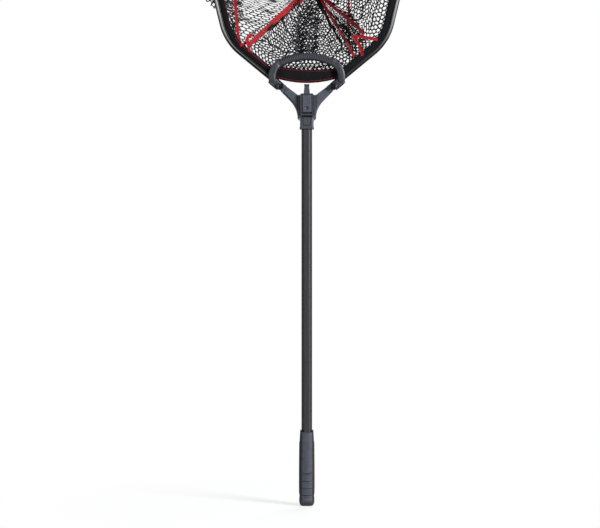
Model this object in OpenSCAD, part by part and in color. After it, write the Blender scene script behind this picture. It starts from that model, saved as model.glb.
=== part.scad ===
// Folding landing net with a lifting bail.
// Frame: +Z runs up the handle, the net's mouth faces -Y (front), +X is right,
// origin at the centre of the butt's flat end. All sizes in millimetres.

/* [Handle] */
// Top of the soft grip, measured from the butt end
grip_top = 182; // [150:1:220]
// Width of the grip, side to side
grip_w = 36.4; // [34:0.2:40]
// Depth of the grip, front to back
grip_d = 34; // [31:0.5:38]
// Handle tube, across its flats
tube_af = 23; // [22:0.25:23.5]
// Wall of the handle tube
tube_wall = 1.6; // [1.2:0.1:2.2]
// Height of the lower edge of the head collar
collar_z = 903; // [850:1:950]

/* [Head] */
// Slope of the yoke arms and sockets above the horizontal, in degrees
arm_angle = 39.5; // [39:0.25:40]
// Height of the fold axis above the collar's lower edge
fold_rise = 101; // [100:0.5:103]
// How far the fold axis stands in front of the net's plane
fold_front = 17; // [16.75:0.25:18]
// Radius of the fold pins
pin_r = 3; // [2.6:0.1:3.2]

/* [Hoop] */
// In-plane width of the hoop extrusion
hoop_w = 11; // [10:0.5:12]
// Depth of the hoop extrusion, front to back
hoop_d = 9; // [8:0.5:9.5]
// Outer radius of the two lower corners
corner_r = 135; // [120:5:150]
// Outer radius of the long sides
side_r = 900; // [700:50:1100]
// Outer radius of the two upper corners
top_r = 170; // [150:5:190]

/* [Net] */
// Depth of the net bag behind the mouth
bag_depth = 210; // [180:10:280]
// Thickness of the solid that stands for the bag's mesh
bag_wall = 3; // [2:0.5:4]
// Width of the seam tapes
tape_w = 9; // [7:0.5:11]

/* [Hidden] */

slate = [0.27, 0.29, 0.33];
ink = [0.05, 0.05, 0.06];
red = [0.72, 0.06, 0.10];

fit = 0.05;    // radial play of a pin, rivet or screw shank in its hole
loose = 0.1;   // radial play of heads, washers and the bail's core

fold_z = collar_z + fold_rise;
fold_y = -fold_front;
fold_axis = [fold_y, fold_z];

// Heights above collar_z
cheek_base = 22;   // lower ends of the yoke's cheeks
collar_rise = 27;  // top of the collar
cheek_rise = 81;   // top of the cheeks
block_rise = 84;   // top of the yoke's block

// ---------- shared shapes ----------
// Ranges are [from, to] pairs. Places in the net's plane are [x, z] pairs.

function span(half) = [-half, half];
// Range in Z between two heights above the collar's lower edge
function up(from, to) = [collar_z + from, collar_z + to];
function unit(v) = v / norm(v);
function shifted(points, by) = [for (p = points) p + by];

// Points followed by their reflection in reverse order
function mirrored(points, sx = -1, sy = 1) = concat(points,
    [for (i = [len(points) - 1:-1:0]) [sx * points[i][0], sy * points[i][1]]]);

// Unit vectors in the net's plane: along a heading, and 90 degrees to its left
function along(heading) = [cos(heading), sin(heading)];
function inward(heading) = [-sin(heading), cos(heading)];

// Rounded rectangle as a ring of points, w along x and d along y
function rrect(w, d, r, n = 4) = [for (q = [0:3], i = [0:n])
    let (a = q * 90 + i * 90 / n,
         cx = (q == 0 || q == 3 ? 1 : -1) * (w / 2 - r),
         cy = (q < 2 ? 1 : -1) * (d / 2 - r))
    [cx + r * cos(a), cy + r * sin(a)]];

// Hexagon across flats af with rounded corners, flats facing front and back
function rhex(af, r, n = 4) = [for (k = [0:5], i = [0:n])
    let (a = 60 * k - 30 + 60 * i / n, c = (af / 2 - r) / cos(30))
    [c * cos(60 * k) + r * cos(a), c * sin(60 * k) + r * sin(a)]];

// Flat strip's cross section, 1 thick
function strip(w) = [[-w / 2, -0.5], [w / 2, -0.5], [w / 2, 0.5], [-w / 2, 0.5]];

// A ring of 2D points placed at an origin with axes ex and ey
function place(ring, origin, ex, ey) = [for (p = ring) origin + p[0] * ex + p[1] * ey];
function level_ring(ring, z) = place(ring, [0, 0, z], [1, 0, 0], [0, 1, 0]);

// Skins a list of rings of 3D points, each ring counterclockwise seen from the far end
module skin(rings) {
    n = len(rings[0]);
    m = len(rings);
    polyhedron(
        points = [for (r = rings, p = r) p],
        faces = concat(
            [[for (i = [0:n - 1]) i]],
            [for (k = [0:m - 2], i = [0:n - 1])
                let (j = (i + 1) % n)
                [k * n + i, (k + 1) * n + j, k * n + j]],
            [for (k = [0:m - 2], i = [0:n - 1])
                let (j = (i + 1) % n)
                [k * n + i, (k + 1) * n + i, (k + 1) * n + j]],
            [[for (i = [n - 1:-1:0]) (m - 1) * n + i]]),
        convexity = 10);
}

// Upright prism standing on height z
module prism(ring, z, height) {
    translate([0, 0, z]) linear_extrude(height) polygon(ring);
}
// Extrudes a 2D shape drawn in X and Z over the range y
module slab(y) {
    translate([0, y[1], 0]) rotate([90, 0, 0]) linear_extrude(y[1] - y[0]) children();
}
// Symmetric slab from its right half: x and height above the collar's lower edge
module plate(y, half) {
    slab(y) polygon(shifted(mirrored(half), [0, collar_z]));
}
module box(x, y, z) {
    translate([x[0], y[0], z[0]]) cube([x[1] - x[0], y[1] - y[0], z[1] - z[0]]);
}
// Rod over the range x, centred on at = [y, z]
module rod_x(x, at, r) {
    translate([x[0], at[0], at[1]]) rotate([0, 90, 0])
        cylinder(h = x[1] - x[0], r = r, $fn = 48);
}
// Rod over the range y, centred on at = [x, z]
module rod_y(at, y, r) {
    translate([at[0], y[1], at[1]]) rotate([90, 0, 0])
        cylinder(h = y[1] - y[0], r = r, $fn = 48);
}
// Hexagonal recess running forward from y
module hex_recess(at, y, depth, r) {
    translate([at[0], y, at[1]]) rotate([90, 0, 0]) cylinder(h = depth, r = r, $fn = 6);
}
module both_sides() {
    children();
    mirror([1, 0, 0]) children();
}

// ---------- hoop path ----------
// Outer edge of the right half, from the socket to the top centre: lower straight,
// lower corner, upper straight, long side, upper corner, crown.
// Path points are [x, height above hoop_z]; headings are in degrees above +X.
hoop_z = collar_z + 120;
path_start = [92.6, 0];
low_len = 92.7;       // lower straight
straight_len = 67;    // upper straight
side_heading = 76.5;
crown_heading = 165;

corner_start = path_start + low_len * along(arm_angle);
corner_c = corner_start + corner_r * inward(arm_angle);
straight_start = corner_c - corner_r * inward(side_heading);
side_start = straight_start + straight_len * along(side_heading);
side_c = side_start + side_r * inward(side_heading);
top_start = side_c + side_r * [1, 0];
top_c = top_start - top_r * [1, 0];
crown_start = top_c - top_r * inward(crown_heading);
crown_r = crown_start[0] / sin(180 - crown_heading);
crown_c = crown_start + crown_r * inward(crown_heading);

// Distance along the path to the end of each part
function arc_len(r, from, to) = r * (to - from) * PI / 180;
corner_end = low_len + arc_len(corner_r, arm_angle, side_heading);
straight_end = corner_end + straight_len;
side_end = straight_end + arc_len(side_r, side_heading, 90);
top_end = side_end + arc_len(top_r, 90, crown_heading);
half_len = top_end + arc_len(crown_r, crown_heading, 180);

// Point and heading at a distance past an arc's start
function arc_at(centre, r, from, distance) =
    let (heading = from + distance / r * 180 / PI)
    [centre - r * inward(heading), heading];

// Point and heading at distance l along the right half
function half_path(l) =
    l < low_len ? [path_start + l * along(arm_angle), arm_angle] :
    l < corner_end ? arc_at(corner_c, corner_r, arm_angle, l - low_len) :
    l < straight_end ?
        [straight_start + (l - corner_end) * along(side_heading), side_heading] :
    l < side_end ? arc_at(side_c, side_r, side_heading, l - straight_end) :
    l < top_end ? arc_at(top_c, top_r, 90, l - side_end) :
                  arc_at(crown_c, crown_r, crown_heading, l - top_end);

// Point at a distance inward of the outer edge, at a share of the whole way round
function rim_point(share, inset) =
    let (l = share * 2 * half_len,
         at = half_path(min(l, 2 * half_len - l)),
         p = at[0] + inset * inward(at[1]))
    [l <= half_len ? p[0] : -p[0], p[1] + hoop_z];

joint_gap = 0.015;  // hairline left at each end of a part
spigot_len = 6;

// Both sweep a profile whose x runs inward and y across
module along_line(start, heading, length) {
    multmatrix([[-sin(heading), 0, cos(heading), start[0]],
                [0, -1, 0, 0],
                [cos(heading), 0, sin(heading), start[1]]])
        linear_extrude(length) children();
}
module along_arc(centre, r, from, to) {
    gap = joint_gap / r * 180 / PI;
    translate([centre[0], 0, centre[1]]) rotate([90, 0, 0]) rotate([0, 0, from - 90 + gap])
        rotate_extrude(angle = to - from - 2 * gap, $fn = 180)
            translate([r, 0]) mirror([1, 0]) children();
}
module spigot(at, heading, inset, r) {
    along_line(at - spigot_len / 2 * along(heading), heading, spigot_len)
        translate([inset, 0]) circle(r = r, $fn = 24);
}
// Sweeps a profile along the whole hoop, beginning lead before the path's start.
// Spigots of radius spigot_r, at inset from the outer edge, join the parts.
module along_hoop(lead, inset, spigot_r) translate([0, 0, hoop_z]) {
    both_sides() {
        along_line(path_start - lead * along(arm_angle), arm_angle,
            low_len + lead - joint_gap) children();
        along_arc(corner_c, corner_r, arm_angle, side_heading) children();
        along_line(straight_start + joint_gap * along(side_heading), side_heading,
            straight_len - 2 * joint_gap) children();
        along_arc(side_c, side_r, side_heading, 90) children();
        along_arc(top_c, top_r, 90, crown_heading) children();
        for (joint = [[corner_start, arm_angle], [straight_start, side_heading],
                [side_start, side_heading], [top_start, 90], [crown_start, crown_heading]])
            spigot(joint[0], joint[1], inset, spigot_r);
    }
    along_arc(crown_c, crown_r, crown_heading, 360 - crown_heading) children();
}

// ---------- handle ----------

grip_base = 16.8;
inlay_z = [27, 154];
inlay_depth = 1.8;
inlay_half = 2.4;
collar_rivet_r = 2.4;
collar_rivet_at = [0, collar_z + 10];

// height, width, depth
butt_stations = [[0, 21, 19], [0.8, 25, 23], [2.5, 29.6, 27.4], [5, 33, 30.8],
    [8.5, 35.4, 33.2], [13, 36.6, 34.3], [16.5, 36.8, 34.4]];

// height, share of grip_w, share of grip_d
grip_stations = [[grip_base, 0.99, 0.99], [40, 1, 1], [80, 0.995, 1.0], [120, 0.985, 0.99],
    [150, 0.965, 0.97], [170, 0.935, 0.94], [179.5, 0.915, 0.92], [grip_top, 0.87, 0.88]];

// distance in from the grip's widest side, height
inlay_outline = [[inlay_depth, inlay_z[0]], [0.1, inlay_z[0]], [0, 40], [0, 80],
    [0.27, 120], [0.7, inlay_z[1]], [inlay_depth, inlay_z[1]]];

module butt_cap() color(ink) union() {
    skin([for (s = butt_stations) level_ring(rrect(s[1], s[2], s[2] * 0.33), s[0])]);
    // plug inside the tube
    prism(rhex(tube_af - 2 * tube_wall - 0.3, 2), 16, 28);
}

// Hexagonal bore that takes the handle tube
module tube_bore(z, height) prism(rhex(tube_af + 0.2, 3), z, height);

module grip_sleeve() color(slate) difference() {
    skin([for (s = grip_stations)
        level_ring(rrect(grip_w * s[1], grip_d * s[2], 9.5 * s[1], 5), s[0])]);
    tube_bore(10, grip_top);
    both_sides() box([grip_w / 2 - inlay_depth - 0.2, grip_w], span(inlay_half + 0.2),
        inlay_z + span(0.4));
}

module grip_inlays() color(red) both_sides() slab(span(inlay_half))
    polygon([for (p = inlay_outline) [grip_w / 2 - p[0], p[1]]]);

module collar_rivet_hole(y) rod_y(collar_rivet_at, y, collar_rivet_r + fit);

module handle_tube() color([0.25, 0.25, 0.26]) difference() {
    prism(rhex(tube_af, 3), grip_base, collar_z + 19 - grip_base);
    prism(rhex(tube_af - 2 * tube_wall, 2.2), 10, collar_z + 30);
    collar_rivet_hole([0, 20]);
}

tongue_w = 16;
tongue_d = 13;
panel_face = -15.3;

// Panel narrowing downward on the collar's front, each edge moved out by grow
module panel_outline(grow) polygon(shifted(mirrored([
    [-8.8 - grow, collar_rise + grow],
    [-7.9 - grow, 11.5],
    [-7.2 - grow * 0.7, 9.6 - grow * 0.7],
    [-5.4, 8.8 - grow]]), [0, collar_z]));

// Collar on the tube's top, the tongue that enters the yoke, and its tapered nose
module head_fitting() color(slate) difference() {
    union() {
        prism(rrect(32.6, 29.6, 4), collar_z + 3.5, 23.5);
        // lip round the collar's lower edge
        prism(rrect(34.4, 31, 4.5), collar_z, 4.2);
        prism(rrect(tongue_w, tongue_d, 1.2, 3), collar_z + collar_rise - 1, 51);
        hull() {
            prism(rrect(15.4, 12, 1.2, 3), collar_z + collar_rise + 49, 8);
            prism(rrect(11.4, 8, 1.2, 3), collar_z + 102, 1);
        }
        slab([panel_face, -14]) panel_outline(0);
    }
    tube_bore(collar_z - 1, 20.4);
    collar_rivet_hole([5, 30]);
    // groove round the panel
    slab([-16, -13.7]) difference() {
        panel_outline(1.5);
        panel_outline(0.1);
    }
    // catch for the latch spring
    box(span(12), [4, 10], up(42, 47.5));
}

module fitting_rivet() color("silver") union() {
    rod_y(collar_rivet_at, [7.5, 15], collar_rivet_r);
    rod_y(collar_rivet_at, [14.9, 16.1], 4);
}

module tongue_tip() color(ink) difference() {
    prism(rrect(12.2, 8.8, 2, 4), collar_z + 103, 5);
    rod_y([0, collar_z + 109.6], span(10), 2.6);
}

// ---------- yoke and latch ----------

// Right arm in the net's plane: its direction, the normal across it, its end
arm_dir = along(arm_angle);
arm_normal = inward(arm_angle);
arm_end = [58.8, fold_z - 0.75];

block_y = 14.6;   // front and back faces of the block
tongue_gap = 0.3;
tenon_half = 4;   // square tenons of the hinge parts, in the arms and sockets
knuckle_rivet_r = 2;
knuckle_rivet_at = arm_end - 10.6 * arm_dir;
button_spring_at = [0, collar_z + 72];

cover_screws_at = [for (rise = [40, 74]) [18.2, collar_z + rise]];
cover_screw_r = 1.45;
cover_head_r = 2.8;

// Box in arm coordinates: s along the arm from its end face, t across, y
module arm_box(s, t, y) {
    multmatrix([[arm_dir[0], arm_normal[0], 0, arm_end[0]],
                [0, 0, -1, 0],
                [arm_dir[1], arm_normal[1], 0, arm_end[1]]])
        translate([s[0], t[0], -y[1]]) cube([s[1] - s[0], t[1] - t[0], y[1] - y[0]]);
}
module knuckle_rivet_hole() rod_y(knuckle_rivet_at, span(20), knuckle_rivet_r + fit);

// Right arm's lower edge: x, height above the cheeks' lower ends
arm_edge = shifted([[12, 6], [22.3, 9], [22.9, 13.5], [23.9, 18], [25.3, 22.8],
    [27.8, 29], [31.1, 35.2], [34.8, 40.4], [38.9, 45.2], [45, 51.6], [51.3, 58],
    [57, 63.8], [61.8, 68.6]], [0, collar_z + cheek_base]);

// Triangle that cuts the arm's chamfer: distance inside the lower edge, y
chamfer_section = [[4.2, -9.2], [-3, -12], [-0.4, -5.6]];

// Slanting face along the arm's lower front edge
module arm_chamfer() skin([for (i = [1:len(arm_edge) - 2])
    let (p = arm_edge[i],
         t = unit(arm_edge[i + 1] - arm_edge[i - 1]),
         normal = [-t[1], t[0]])
    [for (c = chamfer_section) [p[0] + c[0] * normal[0], c[1], p[1] + c[0] * normal[1]]]]);

// Pocket for the button's base flange
module release_window() box(span(13.9), [-16, -10.4], up(36.4, 82.6));

module yoke() color(slate) difference() {
    union() {
        // cheeks, then the block between them
        plate([-14, block_y], [[18.6, cheek_base], [22.3, cheek_base + 4.5],
            [22.3, cheek_rise - 1.5], [20.8, cheek_rise], [16, cheek_rise]]);
        plate(span(block_y), [[15.9, cheek_base + 6],
            [15.9, block_rise - 1.5], [14.4, block_rise]]);
        // arms
        both_sides() {
            difference() {
                slab(span(9)) polygon(concat(arm_edge, [
                    arm_end - 7.6 * arm_normal - 1.2 * arm_dir + [0.6, 0.4],
                    arm_end + 7.2 * arm_normal - arm_dir,
                    [20.4, collar_z + cheek_rise - 0.5],
                    [12, collar_z + cheek_rise - 4]]));
                arm_chamfer();
            }
            arm_box([-6.2, 0], span(8.2), [-8.7, 9.6]);
        }
    }
    // seat for the collar between the cheeks
    box(span(17), span(20), up(cheek_base - 1, collar_rise + 0.5));
    // channel for the tongue
    box(span(tongue_w / 2 + tongue_gap), span(tongue_d / 2 + tongue_gap),
        up(cheek_base - 1, block_rise + 1));
    // recess between the collar and the bezel
    box(span(12.6), [-20, -10.8], up(collar_rise + 0.2, 31.2));
    // pocket for the button and slots for its two legs
    release_window();
    both_sides() box([8, 12.8], [-11, 9], up(40, 49.5));
    // room for the latch spring
    box(span(14.2), [6.5, 20], up(36, 71));
    // seat of the coil spring
    rod_y(button_spring_at, [-11, -7.6], 5);
    both_sides() {
        // grooves between block face and cheeks
        box([16, 17.4], [-20, -12], up(cheek_base + 8, cheek_rise + 5));
        // deeper grooves between cheeks and arms
        box([20.9, 22.8], [-20, -5.5], up(45, cheek_rise + 5));
        // sockets for the hinge knuckles, and their rivets
        arm_box([-14.3, 1], span(tenon_half + loose), span(tenon_half + loose));
        knuckle_rivet_hole();
        for (at = cover_screws_at) rod_y(at, [8, 20], cover_screw_r + fit);
    }
}

module latch_bezel() color(slate) difference() {
    plate([-18.4, -block_y], [[15.6, 31.4], [15.9, 33], [15.9, block_rise - 2.5],
        [14.6, block_rise - 0.8], [12.8, block_rise]]);
    box(span(12.7), [-20, -10], up(34.9, 81.9));
    release_window();
}

module back_cover() color(slate) difference() {
    plate([block_y, 17], [[20.6, cheek_base + 8], [22, cheek_base + 9.5],
        [22, cheek_rise - 3], [20.6, cheek_rise - 1.5]]);
    both_sides() for (at = cover_screws_at) {
        rod_y(at, [10, 20], 1.6);
        rod_y(at, [15.6, 20], cover_head_r + loose);
    }
}

module cover_screws() color("dimgray") both_sides() for (at = cover_screws_at) difference() {
    union() {
        rod_y(at, [8.5, 15.8], cover_screw_r);
        rod_y(at, [15.65, 17.1], cover_head_r);
    }
    hex_recess(at, 17.6, 1.4, 1.2);
}

// Leaf spring held behind the tongue; its tooth sits in the tongue's catch
module latch_spring() color("silver") union() {
    box(span(13.4), [7.9, 8.7], up(39, 66));
    // tooth
    box(span(7.4), [4.6, 8.1], up(42.4, 47));
    // shelf running back from the leaf's top
    plate([8, 14.4], [[13, 65.2], [13, 66]]);
}

module release_button() color(slate) difference() {
    union() {
        plate([-17.2, -15.4], [[10.8, 38], [12.3, 39.5], [12.3, 80.2], [11, 81.5]]);
        // raised face with sloping sides
        hull() {
            plate([-17.3, -17], [[10.4, 38.6], [11.4, 39.8], [11.4, 79.6], [10.4, 80.8]]);
            plate([-19.6, -19.4], [[8.4, 39.4], [9.5, 40.4], [9.5, 78.6], [8.4, 79.8]]);
        }
        // base flange and two legs
        box(span(13.5), [-15.6, -13.6], up(38, 81.6));
        both_sides() box([9.2, 12.2], [-14, 7.6], up(41, 48.4));
    }
    // thumb dimple
    translate([0, -27.4, collar_z + 49]) sphere(r = 9, $fn = 60);
    // seat of the coil spring
    rod_y(button_spring_at, [-14.4, -12], 4.8);
}

// Helical spring along +Z; wire is the wire's radius, with sides facets round it
module coil(r, wire, pitch, turns, steps = 18, sides = 6) {
    skin([for (i = [0:turns * steps])
        let (a = i * 360 / steps,
             outward = [cos(a), sin(a), 0],
             centre = r * outward + [0, 0, pitch * i / steps])
        [for (k = [0:sides - 1])
            let (b = -k * 360 / sides)
            centre + wire * (cos(b) * outward + sin(b) * [0, 0, 1])]]);
}
module button_spring() color("silver")
    translate([0, -7.7, button_spring_at[1]]) rotate([90, 0, 0]) translate([0, 0, 0.5])
        coil(r = 3.9, wire = 0.45, pitch = 1.35, turns = 4);

// ---------- fold hinges ----------

barrel_r = 5.8;
// The clevis's two ears stand either side of the knuckle
inner_ear_x = [57.6, 60.8];
knuckle_x = [61.6, 66.4];
outer_ear_x = [67.2, 70.4];
plate_y = [-8.4, 8.6];        // end plates of knuckle and clevis
knuckle_plate_s = [0, 2.2];
clevis_plate_s = [2.7, 5];

module pin_bore() rod_x([50, 80], fold_axis, pin_r + fit);

// Knuckle fixed in the end of the right arm
module right_hinge_knuckle() color(ink) difference() {
    union() {
        arm_box(knuckle_plate_s, span(7.6), plate_y);
        arm_box([-14, 0.5], span(tenon_half), span(tenon_half));
        rod_x(knuckle_x, fold_axis, barrel_r);
        difference() {
            union() {
                box(knuckle_x, [fold_y, -8.7], [fold_z - barrel_r, fold_z - 0.1]);
                // root of the barrel, kept below the hinge's split
                difference() {
                    box(knuckle_x, [-8.8, -7], [fold_z - 7.5, fold_z - 0.1]);
                    arm_box([knuckle_plate_s[1], 60], span(40), span(60));
                }
            }
            // clear of the arm's end
            arm_box([-20, 0.02], span(20), [-9.6, 10]);
        }
    }
    pin_bore();
    knuckle_rivet_hole();
}
module left_hinge_knuckle() mirror([1, 0, 0]) right_hinge_knuckle();

module knuckle_rivets() color("dimgray") both_sides() union() {
    rod_y(knuckle_rivet_at, [-9.1, 9.8], knuckle_rivet_r);
    for (head_y = [[-9.8, -9], [9.65, 10.4]]) rod_y(knuckle_rivet_at, head_y, 2.7);
}

// Clevis fixed in the end of the right socket
module right_hinge_clevis() color(ink) difference() {
    union() {
        arm_box(clevis_plate_s, [-9.4, 8.6], plate_y);
        arm_box([4.5, 15], span(tenon_half), span(tenon_half));
        rod_x(inner_ear_x, fold_axis, barrel_r);
        rod_x(outer_ear_x, fold_axis, barrel_r);
        box(inner_ear_x, [fold_y, -8.7], [fold_z + 0.1, fold_z + 7.4]);
        box(outer_ear_x, [fold_y, -7], [fold_z - barrel_r, fold_z + 0.1]);
        // root of the inner ear, kept within the plate
        intersection() {
            box(inner_ear_x, [-8.8, -7], [fold_z + 0.1, fold_z + 7.4]);
            arm_box(clevis_plate_s, span(20), span(20));
        }
    }
    pin_bore();
}
module left_hinge_clevis() mirror([1, 0, 0]) right_hinge_clevis();

module hinge_pins() color("silver") both_sides() union() {
    rod_x([57, 71], fold_axis, pin_r);
    for (head_x = [[56, 57.3], [70.7, 72]]) rod_x(head_x, fold_axis, 4.4);
}

// One washer in each gap between ear and knuckle
module hinge_washers() color(ink) both_sides()
    for (gap_x = [inner_ear_x[1], knuckle_x[1]]) difference() {
        x = gap_x + 0.15;
        rod_x([x, x + 0.5], fold_axis, 5.3);
        rod_x([x - 1, x + 2], fold_axis, pin_r + loose);
    }

// ---------- sockets and lifting bail ----------

// Hoop's outer edge, measured across the socket from its axis
hoop_t = (path_start + [0, hoop_z] - arm_end) * arm_normal;
hoop_gap = 0.2;

// Screw through socket and hoop
screw_at = path_start + [0, hoop_z] - 7 * arm_dir + hoop_w / 2 * arm_normal;
screw_r = 1.65;
screw_head_r = 3;

// Right leg's centre line: x, y, height above the fold axis, in-plane width, depth
leg_path = [[78.5, -7.0, 2, 18, 12], [82.6, -8.4, 12, 18.4, 12.5],
    [84.2, -9.2, 21, 18, 12.6], [83.2, -9.4, 31, 17.4, 12.8],
    [79.6, -9.4, 42, 17.2, 12.8], [73.4, -8.6, 51.4, 17.6, 13.6],
    [67, -7, 56.6, 18.2, 15], [62.2, -6.2, 58.7, 18.8, 15.8]];

function leg_ring(i) =
    let (a = leg_path[max(i - 1, 0)],
         b = leg_path[min(i + 1, len(leg_path) - 1)],
         p = leg_path[i],
         t = unit([b[0] - a[0], b[2] - a[2]]))
    place(rrect(p[3], p[4], 4.6, 3), [p[0], p[1], fold_z + p[2]],
        [t[1], 0, -t[0]], [0, 1, 0]);

// Arc of the bail's grip: radius, centre, and half its angle between the legs
bail_r = 138;
bail_c = [0, -6.2, fold_z + 73 - bail_r];
bail_half = 27.2;
bail_grip_half = 25.9;
core_r = 4.5;

// Sweeps a profile along the bail's arc, beginning start degrees right of its top
module bail_arc(start, sweep, fn = 180) {
    translate(bail_c) rotate([90, 0, 0]) rotate([0, 0, 90 - start])
        rotate_extrude(angle = sweep, $fn = fn) translate([bail_r, 0]) children();
}
module core_bore() circle(r = core_r + loose, $fn = 32);

module right_socket() color(slate) difference() {
    union() {
        hull() {
            arm_box([5.2, 9], [-12.4, 8.8], [-8.4, 9]);
            arm_box([8, 22], [-12.4, 8.8], [-10.5, 9.5]);
            arm_box([33, 38.5], [-11.2, 7.4], [-9.5, 8.5]);
        }
        skin([for (i = [0:len(leg_path) - 1]) leg_ring(i)]);
    }
    // pocket for the clevis's tenon, and for the hoop's end
    arm_box([0, 15.3], span(tenon_half + loose), span(tenon_half + loose));
    arm_box([16.5, 60], [hoop_t - hoop_gap, hoop_t + hoop_w + hoop_gap],
        span(hoop_d / 2 + hoop_gap));
    // clearance round the fold barrels, and a notch for the outer ear's root
    box([50, 72.6], [-40, -8.6], [fold_z - 14, fold_z + 9]);
    box(outer_ear_x + span(0.3), [-9, -6.7], [fold_z - barrel_r - 0.3, fold_z + 0.4]);
    bail_arc(bail_half + 3.6, 6, fn = 90) core_bore();
    rod_y(screw_at, [0, 20], screw_r + fit);
    rod_y(screw_at, [8.2, 20], screw_head_r + loose);
}
module left_socket() mirror([1, 0, 0]) right_socket();

module socket_screws() color("dimgray") both_sides() difference() {
    union() {
        rod_y(screw_at, [3.6, 8.6], screw_r);
        rod_y(screw_at, [8.3, 9.8], screw_head_r);
    }
    hex_recess(screw_at, 10.4, 1.5, 1.3);
}

module bail_core() color("silver")
    bail_arc(bail_half + 3, 2 * (bail_half + 3)) circle(r = core_r, $fn = 32);

module bail_grip() color(slate) difference() {
    bail_arc(bail_grip_half, 2 * bail_grip_half) polygon(rrect(18.2, 16.2, 5.6, 5));
    bail_arc(29, 58) core_bore();
}

// ---------- hoop, sleeve and net ----------

hoop_half = hoop_d / 2;
piping_r = 1.2;
piping_inset = hoop_w + 14.3;

// Front halves of the profiles, x inward. The hoop's starts at its outer edge and
// ends in the slot that holds the sleeve's bead.
hoop_profile = [[0, -1.4], [0.7, -3.2], [2.4, -hoop_half], [hoop_w - 1.4, -hoop_half],
    [hoop_w, -hoop_half + 1.2], [hoop_w, -1.3], [hoop_w - 1.8, -1.3],
    [hoop_w - 1.8, -2.4], [hoop_w - 6, -2.4]];
// The sleeve's is measured from the hoop's inner edge
sleeve_profile = [[-5.6, -2], [-2.2, -2], [-2.2, -0.9], [0.5, -0.9], [0.5, -2.4],
    [12.4, -2.4], [13, -1.4]];

module hoop() color([0.08, 0.08, 0.09]) difference() {
    along_hoop(21, 2.6, 1.5) polygon(mirrored(hoop_profile, 1, -1));
    both_sides() rod_y(screw_at, [0, 20], screw_r + fit);
}

module rim_sleeve() color(ink) along_hoop(-6, hoop_w + 6.5, 1.6)
    polygon(mirrored(shifted(sleeve_profile, [hoop_w, 0]), 1, -1));

module rim_piping() color(red) along_hoop(-8, piping_inset, 0.8)
    translate([piping_inset, 0]) circle(r = piping_r, $fn = 24);

// Edges of the throat band, which sags a little between the sockets
function band_z(x, top) = top ? fold_z + 44.5 - 4.2 * cos(x * 1.3)
                              : fold_z + 21.5 - 9.5 * cos(x * 1.25);
module throat_band() color(ink) slab(span(2.2)) polygon(concat(
    [for (x = [-66:6:66]) [x, band_z(x, true)]],
    [for (x = [66:-6:-66]) [x, band_z(x, false)]]));

module throat_piping() color(red) for (top = [true, false])
    skin([for (i = [-10:10])
        let (x = 6.5 * i, z = band_z(x, top) + (top ? 1.5 : -1.5))
        [for (k = [0:5]) [x, piping_r * cos(k * 60), z + piping_r * sin(k * 60)]]]);

// Points round the bag's mouth: along the rim, then back across the throat
rim_n = 38;
throat_n = 6;
bag_n = rim_n + throat_n;
bag_c = [8, fold_z + 273];    // the bag shrinks towards this point
bag_mouth_y = 4.2;
// Shares of the bag's depth at which its rings lie
bag_steps = [0, 0.07, 0.154, 0.293, 0.435, 0.574, 0.703, 0.815, 0.905, 0.962, 0.992, 1];

function mouth(i) = i < rim_n
    ? rim_point(0.035 + 0.93 * i / (rim_n - 1), hoop_w + 16.5)
    : [-62 + 124 * (i - rim_n + 0.5) / throat_n, fold_z + 38];

// Part of the mouth's size left at a share of the depth
function bag_scale(share) = pow(max(0.006, 1 - share), 1 / 1.5);

// Soft bulge of the left side, where the bag hangs out behind the hoop:
// size and swell with depth, fading up and down and towards the middle
bulge_z = fold_z + 265;
function bulge(p, share) = p[0] > 0 ? 0 :
    (115 - 60 * share) * sin(180 * min(1, share * 1.45))
    * exp(-pow((p[1] - bulge_z) / 110, 2)) * min(1, -p[0] / 160);

// Point on the bag's middle surface, moved outward by offset
function bag_point(i, share, offset) =
    let (p = mouth(i),
         v = p - bag_c,
         q = bag_c + v * (bag_scale(share) + offset / norm(v)))
    [q[0] - bulge(p, share), bag_mouth_y + bag_depth * share + offset * pow(share, 3), q[1]];

function bag_ring(share, offset) = [for (i = [bag_n - 1:-1:0]) bag_point(i, share, offset)];

// Up the inner face from the end, over the sewn edge, and back down the outer face
module net_bag() color([0.1, 0.1, 0.11]) skin(concat(
    [for (k = [len(bag_steps) - 1:-1:0]) bag_ring(bag_steps[k], -bag_wall / 2)],
    [for (share = bag_steps) bag_ring(share, bag_wall / 2)]));

// Tape inside the bag along its point i, from near the mouth towards the base
module tape(i) {
    offset = -(bag_wall / 2 + 4.5);
    skin([for (k = [0:8])
        let (share = 0.03 + 0.87 * k / 8,
             origin = bag_point(i, share, offset),
             deeper = bag_point(i, min(1, share + 0.02), offset),
             nearer = bag_point(i, max(0, share - 0.02), offset),
             across = unit(bag_point(i + 1, share, offset) - origin))
        place(strip(tape_w), origin, across, unit(cross(unit(deeper - nearer), across)))]);
}
module seam_tapes() color(red) for (i = [4, 33, 12, 25]) tape(i);

// Short loops of tape on the front of the sleeve at the bag's lower corners
module corner_loops() color(red) both_sides() {
    from = rim_point(0.036, hoop_w + 12);
    to = rim_point(0.072, hoop_w + 12);
    middle = (from + to) / 2 + [-20, 16];
    skin([for (k = [0:10])
        let (t = k / 10,
             q = (1 - t) * (1 - t) * from + 2 * t * (1 - t) * middle + t * t * to,
             d = unit(2 * (1 - t) * (middle - from) + 2 * t * (to - middle)))
        place(strip(8), [q[0], -4.2 - 4 * sin(180 * t), q[1]],
            [-d[1], 0, d[0]], [0, -1, 0])]);
}

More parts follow.
